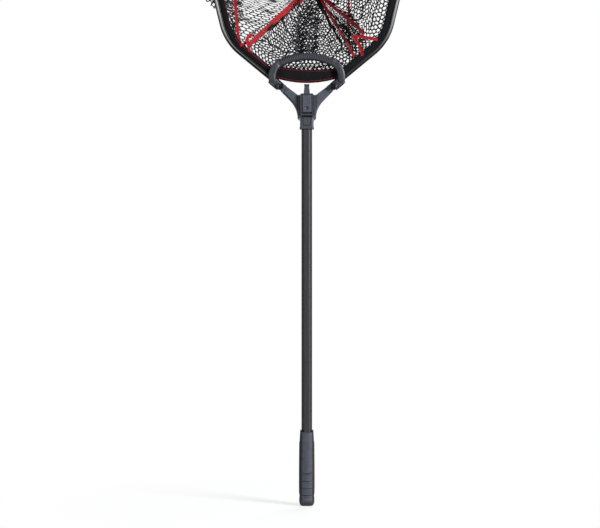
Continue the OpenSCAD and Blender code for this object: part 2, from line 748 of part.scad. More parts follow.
butt_cap();
grip_sleeve();
grip_inlays();
handle_tube();
head_fitting();
fitting_rivet();
tongue_tip();
yoke();
latch_bezel();
back_cover();
cover_screws();
latch_spring();
left_hinge_knuckle();
right_hinge_knuckle();
knuckle_rivets();
release_button();
button_spring();
left_hinge_clevis();
right_hinge_clevis();
hinge_pins();
hinge_washers();
left_socket();
right_socket();
socket_screws();
bail_core();
bail_grip();
hoop();
rim_sleeve();
rim_piping();
throat_band();
throat_piping();
net_bag();
seam_tapes();
corner_loops();
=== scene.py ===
"""Folding hand net with a rubber mesh bag.

It stands upright: the handle runs up Z from its butt at z = 0, and the hoop lies in the XZ plane
above it. The front faces -Y, right is +X, and the bag hangs back towards +Y. Places and sizes
are in millimetres; the scene, lights and shader distances are in metres.
"""
import math
from functools import cached_property

import bmesh
import bpy
import numpy as np
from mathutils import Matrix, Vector, noise


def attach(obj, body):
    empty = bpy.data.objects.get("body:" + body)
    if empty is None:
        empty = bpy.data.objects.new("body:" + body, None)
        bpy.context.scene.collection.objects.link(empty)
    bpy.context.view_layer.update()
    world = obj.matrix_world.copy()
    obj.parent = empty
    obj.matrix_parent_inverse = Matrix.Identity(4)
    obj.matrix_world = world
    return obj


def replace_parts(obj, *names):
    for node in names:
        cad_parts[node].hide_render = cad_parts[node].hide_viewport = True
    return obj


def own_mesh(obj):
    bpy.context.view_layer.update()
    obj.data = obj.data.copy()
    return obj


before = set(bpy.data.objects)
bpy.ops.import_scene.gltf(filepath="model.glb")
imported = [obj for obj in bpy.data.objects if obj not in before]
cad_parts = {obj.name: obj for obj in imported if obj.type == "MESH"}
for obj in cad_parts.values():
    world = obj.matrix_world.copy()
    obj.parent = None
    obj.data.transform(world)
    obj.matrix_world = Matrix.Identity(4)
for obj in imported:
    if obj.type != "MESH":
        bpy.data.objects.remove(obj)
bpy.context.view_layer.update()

MILLI = 0.001

COLLAR_Z = 903.0
FOLD_Y = -17.0  # the hinge line
FOLD_Z = COLLAR_Z + 101.0
HOOP_Z = COLLAR_Z + 120.0
EYE = np.array([-16.3, -4000.0, 579.4])  # the camera


# ------------------------------------------------------------------ shader nodes
class Graph:
    """Emptied node tree of a material or world, with short calls for the nodes used here."""

    def __init__(self, owner):
        owner.use_nodes = True
        self.owner = owner
        self.tree = owner.node_tree
        self.tree.nodes.clear()

    def feed(self, socket, value):
        """Links another node's output, or sets a plain value."""
        if isinstance(value, bpy.types.NodeSocket):
            self.tree.links.new(value, socket)
        elif socket.type == "RGBA":
            socket.default_value = (*value, 1.0)
        else:
            socket.default_value = value

    def node(self, kind, inputs=None, **settings):
        made = self.tree.nodes.new("ShaderNode" + kind)
        for name, value in settings.items():
            setattr(made, name, value)
        for key, value in (inputs or {}).items():
            self.feed(made.inputs[key], value)
        return made

    @cached_property
    def place(self):
        """Object coordinates."""
        return self.node("TexCoord").outputs["Object"]

    def uv_axes(self):
        return self.node("SeparateXYZ", {0: self.node("TexCoord").outputs["UV"]}).outputs

    def math(self, operation, first, second=None):
        inputs = {0: first} if second is None else {0: first, 1: second}
        return self.node("Math", inputs, operation=operation).outputs[0]

    def times(self, first, second):
        return self.math("MULTIPLY", first, second)

    def mix(self, share, first, second, blend="MIX"):
        inputs = {0: share, 6: first, 7: second}
        return self.node("Mix", inputs, data_type="RGBA", blend_type=blend).outputs[2]

    def ramp(self, value, span, to=(0.0, 1.0), interpolation="LINEAR"):
        """Grey that goes from to[0] to to[1] as the value crosses the span."""
        made = self.node("ValToRGB", {0: value})
        made.color_ramp.interpolation = interpolation
        for stop, position, tone in zip(made.color_ramp.elements, span, to):
            stop.position = position
            stop.color = (tone, tone, tone, 1)
        return made.outputs[0]

    def stretched(self, scale):
        return self.node("Mapping", {"Vector": self.place, "Scale": scale}).outputs[0]

    def noise(self, scale, detail, stretch=None):
        place = self.stretched(stretch) if stretch else self.place
        inputs = {"Scale": scale, "Detail": detail, "Roughness": 0.55, "Vector": place}
        return self.node("TexNoise", inputs).outputs["Fac"]


class Surface(Graph):
    """Material with one Principled shader."""

    def __init__(self, name):
        super().__init__(bpy.data.materials.new(name))
        self.shader = self.node("BsdfPrincipled")
        self.node("OutputMaterial", {0: self.shader.outputs[0]})

    def set(self, inputs):
        for key, value in inputs.items():
            self.feed(self.shader.inputs[key], value)

    def bump(self, height, strength, distance, normal=None):
        inputs = {"Strength": strength, "Distance": distance, "Height": height}
        if normal is not None:
            inputs["Normal"] = normal
        self.set({"Normal": self.node("Bump", inputs).outputs[0]})

    def round_edges(self, radius):
        return self.node("Bevel", {"Radius": radius}, samples=4).outputs[0]

    def edge_mask(self, rounded_normal):
        """1 on rounded edges, 0 on flats."""
        flat_normal = self.node("NewGeometry").outputs["Normal"]
        inputs = {0: rounded_normal, 1: flat_normal}
        match = self.node("VectorMath", inputs, operation="DOT_PRODUCT").outputs["Value"]
        inputs = {"Value": match, "From Min": 0.75, "From Max": 0.98, "To Min": 1.0, "To Max": 0.0}
        return self.node("MapRange", inputs).outputs[0]

    def crevice(self, colour, floor):
        """Painted shade: darkens a colour where surfaces close in on each other, down to floor."""
        openness = self.node("AmbientOcclusion", {"Distance": 0.006}, samples=6).outputs["AO"]
        shade = self.ramp(openness, span=(0.25, 0.85), to=(floor, 1.0))
        return self.mix(1.0, colour, shade, "MULTIPLY")

    def with_painted_light(self, colour):
        """Multiplies a colour by the piece's own per-point painted light and shade."""
        painted_light = self.node("Attribute", attribute_name="painted_light").outputs["Fac"]
        return self.mix(1.0, colour, painted_light, "MULTIPLY")

    def box_mask(self, box):
        """1 inside a box of (low, high) per axis in mm, 0 outside."""
        axes = self.node("SeparateXYZ", {0: self.place}).outputs
        mask = None
        for axis, (low, high) in zip(axes, box):
            low, high = low * MILLI, high * MILLI
            inputs = {0: axis, 1: (low + high) / 2, 2: (high - low) / 2}
            within = self.node("Math", inputs, operation="COMPARE").outputs[0]
            mask = within if mask is None else self.times(mask, within)
        return mask

    def spot_mask(self, centre, radius):
        """1 at a point in mm, fading to 0 at the radius."""
        inputs = {0: self.place, 1: tuple(c * MILLI for c in centre)}
        away = self.node("VectorMath", inputs, operation="DISTANCE").outputs["Value"]
        return self.ramp(self.times(away, 1 / (radius * MILLI)), span=(0.55, 1.0), to=(1.0, 0.0))


def scaled(rgb, factor):
    return tuple(c * factor for c in rgb)


# ------------------------------------------------------------------ materials
def moulded(name, rgb, rough=0.42, grain=0.25, rounded=True, edge_highlight=0.35, spec=0.5, shade=0.22,
            with_painted_light=False, painted_shade_box=None, dark_spot=None):
    """Moulded plastic: fine grain, slow tone changes, edges rounded and lightened in patches by a
    painted highlight, painted shade in crevices.
    """
    surface = Surface(name)
    fine = surface.noise(scale=2600, detail=2)
    mid = surface.noise(scale=140, detail=4)
    slow = surface.noise(scale=18, detail=2)
    # tone drifts 14% either way
    tone = surface.math("ADD", surface.times(mid, 0.45), surface.times(slow, 0.55))
    tone = surface.ramp(tone, span=(0.38, 0.62))
    colour = surface.mix(tone, scaled(rgb, 0.86), scaled(rgb, 1.14))
    # dark grain
    colour = surface.mix(surface.times(fine, 0.22), colour, scaled(rgb, 0.6))
    normal = None
    if rounded:
        normal = surface.round_edges(radius=0.0006)
        # painted highlight: rounded edges lightened in patches
        if edge_highlight:
            patchy = surface.ramp(mid, span=(0.35, 0.65), to=(0.25, 1.0))
            edge_highlight_share = surface.times(surface.times(surface.edge_mask(normal), patchy), edge_highlight)
            colour = surface.mix(edge_highlight_share, colour, tuple(min(1, c * 1.9 + 0.01) for c in rgb))
    # painted shade where surfaces close in
    colour = surface.crevice(colour, shade)
    if with_painted_light:
        colour = surface.with_painted_light(colour)
    # painted shade: near black inside a box, a recess where shade falls
    if painted_shade_box:
        colour = surface.mix(surface.box_mask(painted_shade_box), colour, (0.0035, 0.0035, 0.0045))
    # dark spot: partly a dark mark on the button, partly painted shade over the dimple's highlight
    if dark_spot:
        centre, radius, strength = dark_spot
        spot = surface.times(surface.spot_mask(centre, radius), strength)
        colour = surface.mix(spot, colour, (0.006, 0.006, 0.009))
    surface.set({
        "Base Color": colour,
        "Roughness": surface.ramp(mid, span=(0.3, 0.7), to=(rough - 0.06, rough + 0.08)),
        "Specular IOR Level": spec,
    })
    surface.bump(fine, strength=grain, distance=0.00012, normal=normal)
    return surface.owner


def metal(name, rgb, rough):
    """Metal with fine streaks along Z."""
    surface = Surface(name)
    streaks = surface.noise(scale=40, detail=4, stretch=(60, 60, 4))
    share = surface.ramp(streaks, span=(0.35, 0.65))
    surface.set({
        "Base Color": surface.mix(share, scaled(rgb, 0.86), scaled(rgb, 1.1)),
        "Metallic": 1.0,
        "Roughness": surface.ramp(streaks, span=(0.3, 0.7), to=(rough - 0.05, rough + 0.08)),
    })
    normal = surface.round_edges(radius=0.0004)
    surface.bump(streaks, strength=0.12, distance=0.0002, normal=normal)
    return surface.owner


def weave(name, rgb, thread, sheen, vary, spec):
    """Twill webbing: two sets of threads from sine waves over the piece's UVs in metres."""
    surface = Surface(name)
    along, across = surface.uv_axes()[:2]
    pitch = math.pi / thread

    def threads(value, rate):
        return surface.math("ABSOLUTE", surface.math("SINE", surface.times(value, rate)))

    slanted = surface.math("ADD", along, surface.times(across, 0.5))
    warp = threads(slanted, pitch)
    weft = threads(across, pitch * 0.6)
    height = surface.times(warp, surface.math("ADD", surface.times(weft, 0.6), 0.4))
    fuzz = surface.noise(scale=1800, detail=2)
    slow = surface.noise(scale=60, detail=3)
    share = surface.ramp(height, span=(0.1, 0.8))
    colour = surface.mix(share, scaled(rgb, 1 - vary * 1.6), scaled(rgb, 1 + vary))
    blotches = surface.times(surface.ramp(slow, span=(0.4, 0.7)), 0.35)
    surface.set({
        "Base Color": surface.mix(blotches, colour, scaled(rgb, 0.55)),
        "Roughness": 0.85,
        "Specular IOR Level": spec,
        "Sheen Weight": sheen,
        "Sheen Roughness": 0.5,
    })
    height = surface.math("ADD", height, surface.times(fuzz, 0.5))
    surface.bump(height, strength=0.5, distance=thread * 0.45)
    return surface.owner


def anodised_tube():
    """Dark tube, drawn along Z, with a few hairline scratches."""
    surface = Surface("tube_anodised")
    drawn = surface.noise(scale=900, detail=4, stretch=(1.0, 1.0, 0.012))
    slow = surface.noise(scale=30, detail=3, stretch=(1, 1, 0.25))
    base = (0.047, 0.045, 0.049)
    share = surface.ramp(drawn, span=(0.3, 0.7))
    colour = surface.mix(share, scaled(base, 0.80), scaled(base, 1.16))
    blotches = surface.times(surface.ramp(slow, span=(0.35, 0.7)), 0.35)
    colour = surface.mix(blotches, colour, scaled(base, 0.72))
    # scratches are the borders of very long cells, shown in patches
    inputs = {"Scale": 120, "Vector": surface.stretched((1.0, 1.0, 0.05))}
    cells = surface.node("TexVoronoi", inputs, feature="DISTANCE_TO_EDGE").outputs["Distance"]
    scratches = surface.ramp(cells, span=(0.0, 0.012), to=(1.0, 0.0))
    patches = surface.ramp(slow, span=(0.52, 0.6), to=(0.0, 0.5))
    surface.set({
        "Base Color": surface.mix(surface.times(scratches, patches), colour, (0.09, 0.088, 0.09)),
        "Metallic": 0.35,
        "Roughness": surface.ramp(drawn, span=(0.3, 0.7), to=(0.36, 0.48)),
        "Specular IOR Level": 0.5,
    })
    normal = surface.round_edges(radius=0.0004)
    surface.bump(drawn, strength=0.10, distance=0.0001, normal=normal)
    return surface.owner


def hoop_black():
    surface = Surface("hoop_anodised")
    fine = surface.noise(scale=700, detail=3)
    slow = surface.noise(scale=25, detail=3)
    share = surface.ramp(slow, span=(0.35, 0.7))
    surface.set({
        "Base Color": surface.mix(share, (0.006, 0.006, 0.007), (0.011, 0.011, 0.013)),
        "Roughness": surface.ramp(fine, span=(0.3, 0.7), to=(0.30, 0.42)),
        "Specular IOR Level": 0.28,
    })
    surface.bump(fine, strength=0.06, distance=0.0002)
    return surface.owner


# painted highlight: a bright stripe along the hoop's front land
def hoop_bright():
    surface = Surface("hoop_painted_highlight")
    fine = surface.noise(scale=500, detail=4)
    colour = surface.mix(fine, (0.36, 0.38, 0.355), (0.43, 0.44, 0.41))
    surface.set({
        "Base Color": surface.with_painted_light(colour),
        "Metallic": 0.25,
        "Roughness": surface.ramp(fine, span=(0.3, 0.7), to=(0.42, 0.55)),
    })
    surface.bump(fine, strength=0.05, distance=0.0001)
    return surface.owner


def rubber_mesh():
    surface = Surface("rubber_mesh")
    fine = surface.noise(scale=1500, detail=3)
    mid = surface.noise(scale=220, detail=4)
    slow = surface.noise(scale=22, detail=3)
    share = surface.ramp(mid, span=(0.35, 0.68))
    colour = surface.mix(share, (0.0055, 0.0055, 0.0075), (0.017, 0.017, 0.023))
    blotches = surface.times(surface.ramp(slow, span=(0.4, 0.7)), 0.5)
    surface.set({
        "Base Color": surface.mix(blotches, colour, (0.011, 0.011, 0.015)),
        "Roughness": surface.ramp(mid, span=(0.3, 0.7), to=(0.32, 0.5)),
        "Specular IOR Level": 0.42,
        "Coat Weight": 0.08,
        "Coat Roughness": 0.3,
    })
    surface.bump(fine, strength=0.35, distance=0.0004)
    return surface.owner


def grip_rubber():
    """Two soft compounds: slate on the front and back panels, darker on the sides.

    UV x is the panel mask. UV y darkens: painted shade in the grooves at 0.5, the black rim at 1.
    """
    surface = Surface("grip_rubber")
    panel_mask, darkness = surface.uv_axes()[:2]
    fine = surface.noise(scale=2200, detail=3)
    mid = surface.noise(scale=110, detail=4)
    slow = surface.noise(scale=20, detail=2)

    def mottled(dark, light):
        return surface.mix(surface.ramp(mid, span=(0.36, 0.66)), dark, light)

    panel = mottled((0.050, 0.056, 0.072), (0.068, 0.076, 0.096))
    side = mottled((0.026, 0.030, 0.037), (0.038, 0.044, 0.052))
    groove, rim_black = (0.012, 0.013, 0.018), (0.008, 0.008, 0.010)
    colour = surface.mix(panel_mask, side, panel)
    # painted shade in the grooves
    colour = surface.mix(surface.ramp(darkness, span=(0.0, 0.5)), colour, groove)
    colour = surface.mix(surface.ramp(darkness, span=(0.75, 1.0)), colour, rim_black)
    colour = surface.mix(surface.times(fine, 0.25), colour, scaled(SLATE, 0.5))
    surface.set({
        "Base Color": colour,
        "Roughness": surface.ramp(slow, span=(0.3, 0.7), to=(0.46, 0.6)),
        "Specular IOR Level": 0.45,
    })
    surface.bump(fine, strength=0.35, distance=0.00015)
    return surface.owner


SLATE = (0.044, 0.050, 0.064)
SLATE_DARK = (0.036, 0.041, 0.053)
RED = (0.33, 0.007, 0.013)

LOOKS = {
    "slate": moulded("slate_plastic", SLATE),
    "slate_dark": moulded("slate_plastic_dark", SLATE_DARK, rough=0.45),
    # the button's dark spot is partly a dark mark, partly painted shade in its dimple
    "button": moulded("button_plastic", (0.064, 0.071, 0.092), grain=0.3,
                      dark_spot=((0, -18.6, 952), 6.0, 0.8)),
    "ink": moulded("black_plastic", (0.0042, 0.0042, 0.0055), rough=0.50, edge_highlight=0.12, spec=0.22),
    # painted light: the slate made lighter on the yoke for the light its arms catch; its box is painted
    # shade in a recess
    "yoke": moulded("yoke_plastic_painted_light", scaled(SLATE, 1.36), shade=0.45,
                    painted_shade_box=((-15, 15), (-13.2, -6), (930.0, 990))),
    # painted shade: the bail's core is coloured near black as a recess
    "recess": moulded("recess_black", (0.003, 0.003, 0.004), rough=0.6, edge_highlight=0, spec=0.15),
    "tip": moulded("black_rubber", (0.010, 0.010, 0.011), rough=0.6, grain=0.5, edge_highlight=0.1),
    "washer": moulded("washer_nylon", (0.012, 0.012, 0.013), rough=0.35, edge_highlight=0),
    "steel": metal("steel", (0.56, 0.56, 0.57), rough=0.28),
    "steel_dark": metal("steel_dark", (0.12, 0.12, 0.13), rough=0.38),
    "tape": weave("red_tape", RED, thread=0.0007, sheen=0.15, vary=0.25, spec=0.25),
    "piping": weave("red_piping", (0.20, 0.006, 0.011),
                    thread=0.0006, sheen=0.1, vary=0.25, spec=0.15),
    "sleeve": weave("black_sleeve", (0.0065, 0.0065, 0.0085),
                    thread=0.0007, sheen=0.02, vary=0.35, spec=0.10),
    "binding": weave("black_binding", (0.0055, 0.0050, 0.0062),
                     thread=0.0006, sheen=0.02, vary=0.3, spec=0.10),
    "tube": anodised_tube(),
    "hoop": hoop_black(),
    "bright": hoop_bright(),
    "mesh": rubber_mesh(),
    "grip": grip_rubber(),
    "strip": moulded("red_strip", (0.36, 0.020, 0.030), rough=0.45,
                     rounded=False, shade=0.7),
    "socket": moulded("slate_socket", SLATE, rounded=False, with_painted_light=True),
    "bail": moulded("bail_rubber", (0.026, 0.029, 0.039), rough=0.55, spec=0.38, grain=0.4,
                    rounded=False, shade=0.4, with_painted_light=True),
}


# ------------------------------------------------------------------ mesh tools
# A mesh is passed about as (points in mm, faces).
def make_piece(name, mesh, look, body="head", sharp=60, uv=None, accent=None):
    """uv has one pair per point. accent is a second look and the 0/1 material index per face."""
    points, faces = mesh
    data = bpy.data.meshes.new(name)
    data.from_pydata((np.asarray(points, float) * MILLI).tolist(), [], faces)
    if uv is not None:
        layer = data.uv_layers.new(name="UVMap")
        corners = np.zeros(len(data.loops), np.int32)
        data.loops.foreach_get("vertex_index", corners)
        layer.data.foreach_set("uv", np.asarray(uv, float)[corners].astype(np.float32).ravel())
    data.materials.append(LOOKS[look])
    if accent:
        data.materials.append(LOOKS[accent[0]])
        data.polygons.foreach_set("material_index", np.asarray(accent[1], np.int32))
    data.polygons.foreach_set("use_smooth", [True] * len(data.polygons))
    if sharp:
        data.set_sharp_from_angle(angle=math.radians(sharp))
    data.update()
    piece = bpy.data.objects.new(name, data)
    bpy.context.scene.collection.objects.link(piece)
    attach(piece, body)
    return piece


def set_painted_light(piece, values):
    """Per-point painted light and shade, read by the materials that multiply it in."""
    painted_light = piece.data.attributes.new("painted_light", "FLOAT", "POINT")
    painted_light.data.foreach_set("value", [float(v) for v in values])


def grid_faces(rows, cols, closed=True):
    """Quads over rows of points, joined round from last column to first when closed."""
    faces = []
    for r in range(rows - 1):
        for c in range(cols if closed else cols - 1):
            n = (c + 1) % cols
            here, above = r * cols, (r + 1) * cols
            faces.append((here + c, here + n, above + n, above + c))
    return faces


def solid(rings):
    """Closed skin through rings of equal length, capped at both ends."""
    rings = np.asarray(rings, float)
    rows, cols = rings.shape[:2]
    faces = grid_faces(rows, cols)
    faces.append(tuple(range(cols - 1, -1, -1)))
    faces.append(tuple((rows - 1) * cols + i for i in range(cols)))
    return rings.reshape(-1, 3), faces


def join(meshes):
    points, faces, count = [], [], 0
    for part, part_faces in meshes:
        points.append(part)
        faces += [tuple(i + count for i in face) for face in part_faces]
        count += len(part)
    return np.vstack(points), faces


def reverse(faces):
    return [face[::-1] for face in faces]


def mirrored(mesh):
    return mesh[0] * np.array([-1, 1, 1]), reverse(mesh[1])


def outward(mesh):
    """Turns the faces round if the solid is inside out."""
    points, faces = mesh
    centre = points.mean(0)
    volume = 0.0
    for face in faces:
        for i in range(1, len(face) - 1):
            a, b, c = (points[face[k]] - centre for k in (0, i, i + 1))
            volume += np.dot(a, np.cross(b, c))
    return mesh if volume > 0 else (points, reverse(faces))


def unit(vector):
    vector = np.asarray(vector, float)
    return vector / max(np.linalg.norm(vector), 1e-9)


def smooth01(x):
    x = np.clip(x, 0, 1)
    return x * x * (3 - 2 * x)


def signed_power(value, power):
    return math.copysign(abs(value) ** power, value)


def waver(x, y, z, seed):
    return noise.noise(Vector((x + seed * 17.3, y - seed * 9.1, z + seed * 5.7)))


def run_lengths(points):
    """Length along a polyline at each of its points."""
    steps = np.linalg.norm(np.diff(points, axis=0), axis=1)
    return np.concatenate([[0], np.cumsum(steps)])


def resample(points, count):
    lengths = run_lengths(points)
    wanted = np.linspace(0, lengths[-1], count)
    return np.stack([np.interp(wanted, lengths, column) for column in points.T], 1)


def smooth_curve(points, count):
    """Evenly spaced Catmull-Rom curve through points."""
    p = np.asarray(points, float)
    p = np.vstack([2 * p[0] - p[1], p, 2 * p[-1] - p[-2]])
    curve = []
    for a, b, c, d in zip(p, p[1:], p[2:], p[3:]):
        for t in np.linspace(0, 1, 24, endpoint=False):
            square = (2 * a - 5 * b + 4 * c - d) * t**2
            cube = (3 * b - a - 3 * c + d) * t**3
            curve.append(0.5 * (2 * b + (c - a) * t + square + cube))
    curve.append(p[-2])
    return resample(np.array(curve), count)


def tangents(points):
    slopes = np.gradient(points, axis=0)
    return slopes / np.linalg.norm(slopes, axis=1)[:, None]


def cord(points, radius, sides=10, squash=1.0):
    """Round cord through points; squash scales it square to Y."""
    points = np.asarray(points, float)
    rings = []
    for point, tangent in zip(points, tangents(points)):
        a = unit(np.cross(tangent, AXIS_Y))
        b = unit(np.cross(tangent, a))
        rings.append([point + radius * (squash * math.cos(w) * a + math.sin(w) * b)
                      for w in np.linspace(0, 2 * math.pi, sides, endpoint=False)])
    return solid(rings)


def super_ring(centre, first, second, half_first, half_second, count=28, power=0.6):
    """Squared-off oval; a lower power is squarer."""
    ring = []
    for i in range(count):
        w = 2 * math.pi * i / count
        ring.append(centre + first * half_first * signed_power(math.cos(w), power)
                    + second * half_second * signed_power(math.sin(w), power))
    return ring


AXIS_X = np.array([1.0, 0, 0])
AXIS_Y = np.array([0, 1.0, 0])
AXIS_Z = np.array([0, 0, 1.0])

# ------------------------------------------------------------------ hoop path
# The right half of the hoop's outer edge in (x, z), from the right socket to the top middle.
# Headings turn from +X towards +Z.
LOW_HEADING = math.radians(39.5)
SIDE_HEADING = math.radians(76.5)
SHOULDER_HEADING = math.radians(165)
HOOP_START = np.array([92.6, HOOP_Z])
# (bend radius, heading at its end), or (0, length) for a straight
# the last radius is the one that ends on the middle line
HALF_HOOP = [
    (0, 92.7), (135.0, SIDE_HEADING), (0, 67.0),
    (900.0, math.pi / 2), (170.0, SHOULDER_HEADING), (None, math.pi),
]


def onward(heading):
    return np.array([math.cos(heading), math.sin(heading)])


def inward(heading):
    return np.array([-math.sin(heading), math.cos(heading)])


def trace_half_hoop():
    """Segments as (length, place and heading at the start, radius), and the whole length."""
    segments, length, place, heading = [], 0.0, HOOP_START, LOW_HEADING
    for radius, amount in HALF_HOOP:
        if radius is None:
            radius = place[0] / math.sin(math.pi - heading)
        segments.append((length, place, heading, radius))
        if radius == 0:
            place = place + amount * onward(heading)
            length += amount
        else:
            place = place + radius * inward(heading) - radius * inward(amount)
            length += radius * (amount - heading)
            heading = amount
    return segments, length


HOOP_SEGMENTS, HALF_LENGTH = trace_half_hoop()
HOOP_LENGTH = 2 * HALF_LENGTH


def from_socket(length):
    return min(length, HOOP_LENGTH - length)


def rim(length, inset=0.0):
    """Point (x, z) inset from the hoop's outer edge, at a length from the right socket.

    The straight ends run on below the sockets.
    """
    near = from_socket(length)
    start, place, heading, radius = [s for s in HOOP_SEGMENTS if s[0] <= max(near, 0.0)][-1]
    run = near - start
    if radius == 0:
        place = place + run * onward(heading)
    else:
        centre = place + radius * inward(heading)
        heading += run / radius
        place = centre - radius * inward(heading)
    x, z = place + inset * inward(heading)
    return np.array([-x if length > HALF_LENGTH else x, z])


def rim_stations(margin, step):
    """Even lengths round the hoop, starting and ending a margin inside the sockets."""
    end = HOOP_LENGTH - margin
    return np.linspace(margin, end, int(round((end - margin) / step)) + 1)


def sweep_rim(profile, stations, wobble, uv_pitch):
    """Mesh and UVs of a profile of (inset, y) swept round the hoop."""
    rings, uv = [], []
    for length in stations:
        ring = []
        for k, (inset, y) in enumerate(profile):
            inset_shift, y_shift = wobble(length, inset, y)
            x, z = rim(length, inset + inset_shift)
            ring.append((x, y + y_shift, z))
            uv.append((length * MILLI, k * uv_pitch * MILLI))
        rings.append(ring)
    return solid(rings), uv


# ------------------------------------------------------------------ grip
# (z, width) of the grip
GRIP_WIDTHS = np.array([
    [0, 25.0], [0.5, 27.2], [1.3, 29.6], [2.6, 31.6], [4.6, 33.6], [7.4, 35.4], [10.6, 36.3],
    [14, 36.6], [17.2, 36.4], [21, 35.6], [26, 35.4], [34, 36.0], [50, 36.4], [80, 36.2],
    [110, 35.8], [140, 35.2], [155, 34.6], [166, 33.4], [174, 32.6], [179, 32.0], [181, 31.2],
    [182, 29.6],
])
GRIP_TOP = 182.0
PANEL_HALF = 12.6
# (z in the middle, rise at the panel's edge, power of the rise, depth, half height)
GRIP_GROOVES = [
    (77.2, 5.2, 4, 1.1, 0.95), (59.0, 1.0, 4, 1.0, 0.9), (41.6, 0.8, 4, 1.0, 0.9),
    (25.6, 0.6, 4, 1.0, 0.9), (12.2, 0.8, 2, 0.9, 0.8),
]


def grip_width(z):
    return np.interp(z, GRIP_WIDTHS[:, 0], GRIP_WIDTHS[:, 1])


def rounded_rect(width, depth, radius, count):
    """Evenly spaced (point, outward normal) pairs, counterclockwise from the +X side."""
    half_w, half_d = width / 2 - radius, depth / 2 - radius
    corners = [(half_w, -half_d), (half_w, half_d), (-half_w, half_d), (-half_w, -half_d)]
    bend = math.pi * radius / 2
    lengths = [2 * half_d, bend, 2 * half_w, bend] * 2
    total = sum(lengths)
    outline = []
    for i in range(count):
        run, part = total * i / count, 0
        while run > lengths[part] + 1e-9:
            run -= lengths[part]
            part += 1
        side, on_bend = divmod(part, 2)
        angle = side * math.pi / 2
        if on_bend:
            x, y = corners[(side + 1) % 4]
            angle += run / radius
        else:
            x, y = corners[side]
            x, y = x - run * math.sin(angle), y + run * math.cos(angle)
        normal = (math.cos(angle), math.sin(angle))
        outline.append(((x + radius * normal[0], y + radius * normal[1]), normal))
    return outline


def panel_relief(across, z):
    """Outward offset, panel mask and darkness on the front and back panels; the darkness is painted
    shade in the channel and the grooves.
    """
    edge = PANEL_HALF - across
    inside = smooth01(edge + 0.2) * smooth01((177.6 - z) / 1.2) * smooth01((z - 9.5) / 1.2)
    # the panel bulges a little proud, edged by a shallow channel
    bulge = 3.0 * (1 - (across / 13.2) ** 2) * smooth01((z - 4) / 10) * smooth01((181.0 - z) / 5.0)
    channel = math.exp(-((edge + 0.7) / 0.6) ** 2) * smooth01((179 - z) / 2)
    offset = 0.45 * inside + bulge - 0.3 - 0.8 * channel
    # painted shade in the channel round the panel
    dark = 0.5 * channel
    for middle, rise, power, depth, half_height in GRIP_GROOVES:
        groove_z = middle + rise * (across / PANEL_HALF) ** power
        groove = math.exp(-((z - groove_z) / half_height) ** 2) * smooth01((edge + 0.6) / 0.8)
        # the lower lip of each groove stands up
        lip = 0.9 * math.exp(-((z - groove_z + 2.6) / 1.3) ** 2) * inside
        offset += lip - depth * groove
        # painted shade in the groove
        dark = max(dark, 0.55 * groove)
    return offset, inside, dark


def build_grip():
    stations = [0.0, 0.5, 1.3, 2.6, 4.6, 7.4, 10.6, 14.0, 17.2]
    stations += [*np.arange(18.4, 168, 0.9), *np.arange(168, 182.01, 0.6)]
    around = 132
    rings, uv = [], []
    for z in stations:
        width = grip_width(z)
        radius = np.interp(z, [0, 6, 20, 160, 182], [8.5, 9.5, 9.2, 8.6, 7.4])
        ring = []
        for (x, y), normal in rounded_rect(width, width * 0.84, radius, around):
            offset, mask, dark = 0.0, 0.0, 0.0
            facing = abs(normal[1])
            if facing > 0.55 and z > 8:
                offset, mask, dark = panel_relief(abs(x), z)
            # the rim stands up at the two sides, where it is black
            height = z
            if z > 170:
                rim_top = GRIP_TOP - 4.6 * smooth01((facing - 0.15) / 0.5)
                height = 170 + (z - 170) * (rim_top - 170) / (GRIP_TOP - 170)
            if z > 177.5 and facing < 0.6:
                dark = max(dark, 0.75 + 0.25 * smooth01((z - 177.5) / 2.0))
            ring.append((x + normal[0] * offset, y + normal[1] * offset, height))
            uv.append((mask, dark))
        rings.append(ring)
    # inner mouth of the grip, down beside the tube: (drop, scale)
    last = np.array(rings[-1])
    for drop, scale in ((0.0, 0.955), (0.9, 0.90), (2.6, 0.865), (6.0, 0.85)):
        rings.append(last * (scale, scale, 1) - (0, 0, drop))
        uv += [(0.0, 1.0)] * around
    grip = make_piece("grip_body", solid(rings), "grip", "handle", sharp=50, uv=uv)
    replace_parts(grip, "grip_sleeve", "butt_cap")


def build_strips():
    """Slim rounded red bars standing just proud of the grip's sides."""
    stations = [27.0, 27.5, 28.6, *np.linspace(31, 150, 60), 152.4, 153.5, 154.0]
    bars = []
    for side in (-1, 1):
        rings = []
        for z in stations:
            size = min(1.0, math.sqrt(max(0.02, min(z - 26.8, 154.2 - z) / 2.4)))
            centre = grip_width(z) / 2 - 0.15
            angles = [2 * math.pi * k / 16 for k in range(16)]
            rings.append([(side * (centre + size * math.cos(a)), side * 3.2 * size * math.sin(a), z)
                          for a in angles])
        bars.append(solid(rings))
    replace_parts(make_piece("grip_strips", join(bars), "strip", "handle"), "grip_inlays")


build_grip()
build_strips()

# ------------------------------------------------------------------ hoop and rim fabric
# (inset, y) round the hoop's section; a bright land along the front carries a painted highlight
HOOP_PROFILE = [
    (0.0, 0.0), (0.15, -1.4), (0.6, -2.6), (1.4, -3.6), (2.4, -4.1), (3.0, -4.15),
    (3.2, -4.45), (3.9, -4.72), (5.4, -4.78), (7.0, -4.72), (7.7, -4.45),
    (7.9, -4.0), (8.6, -3.8), (9.6, -3.9), (10.5, -3.6), (10.95, -2.8), (11.0, -1.4),
    (11.0, 1.4), (10.9, 3.0), (10.2, 4.1), (8.5, 4.5), (4.0, 4.5), (2.2, 4.0), (0.8, 2.8),
    (0.2, 1.5),
]
BRIGHT_COLUMNS = range(6, 10)


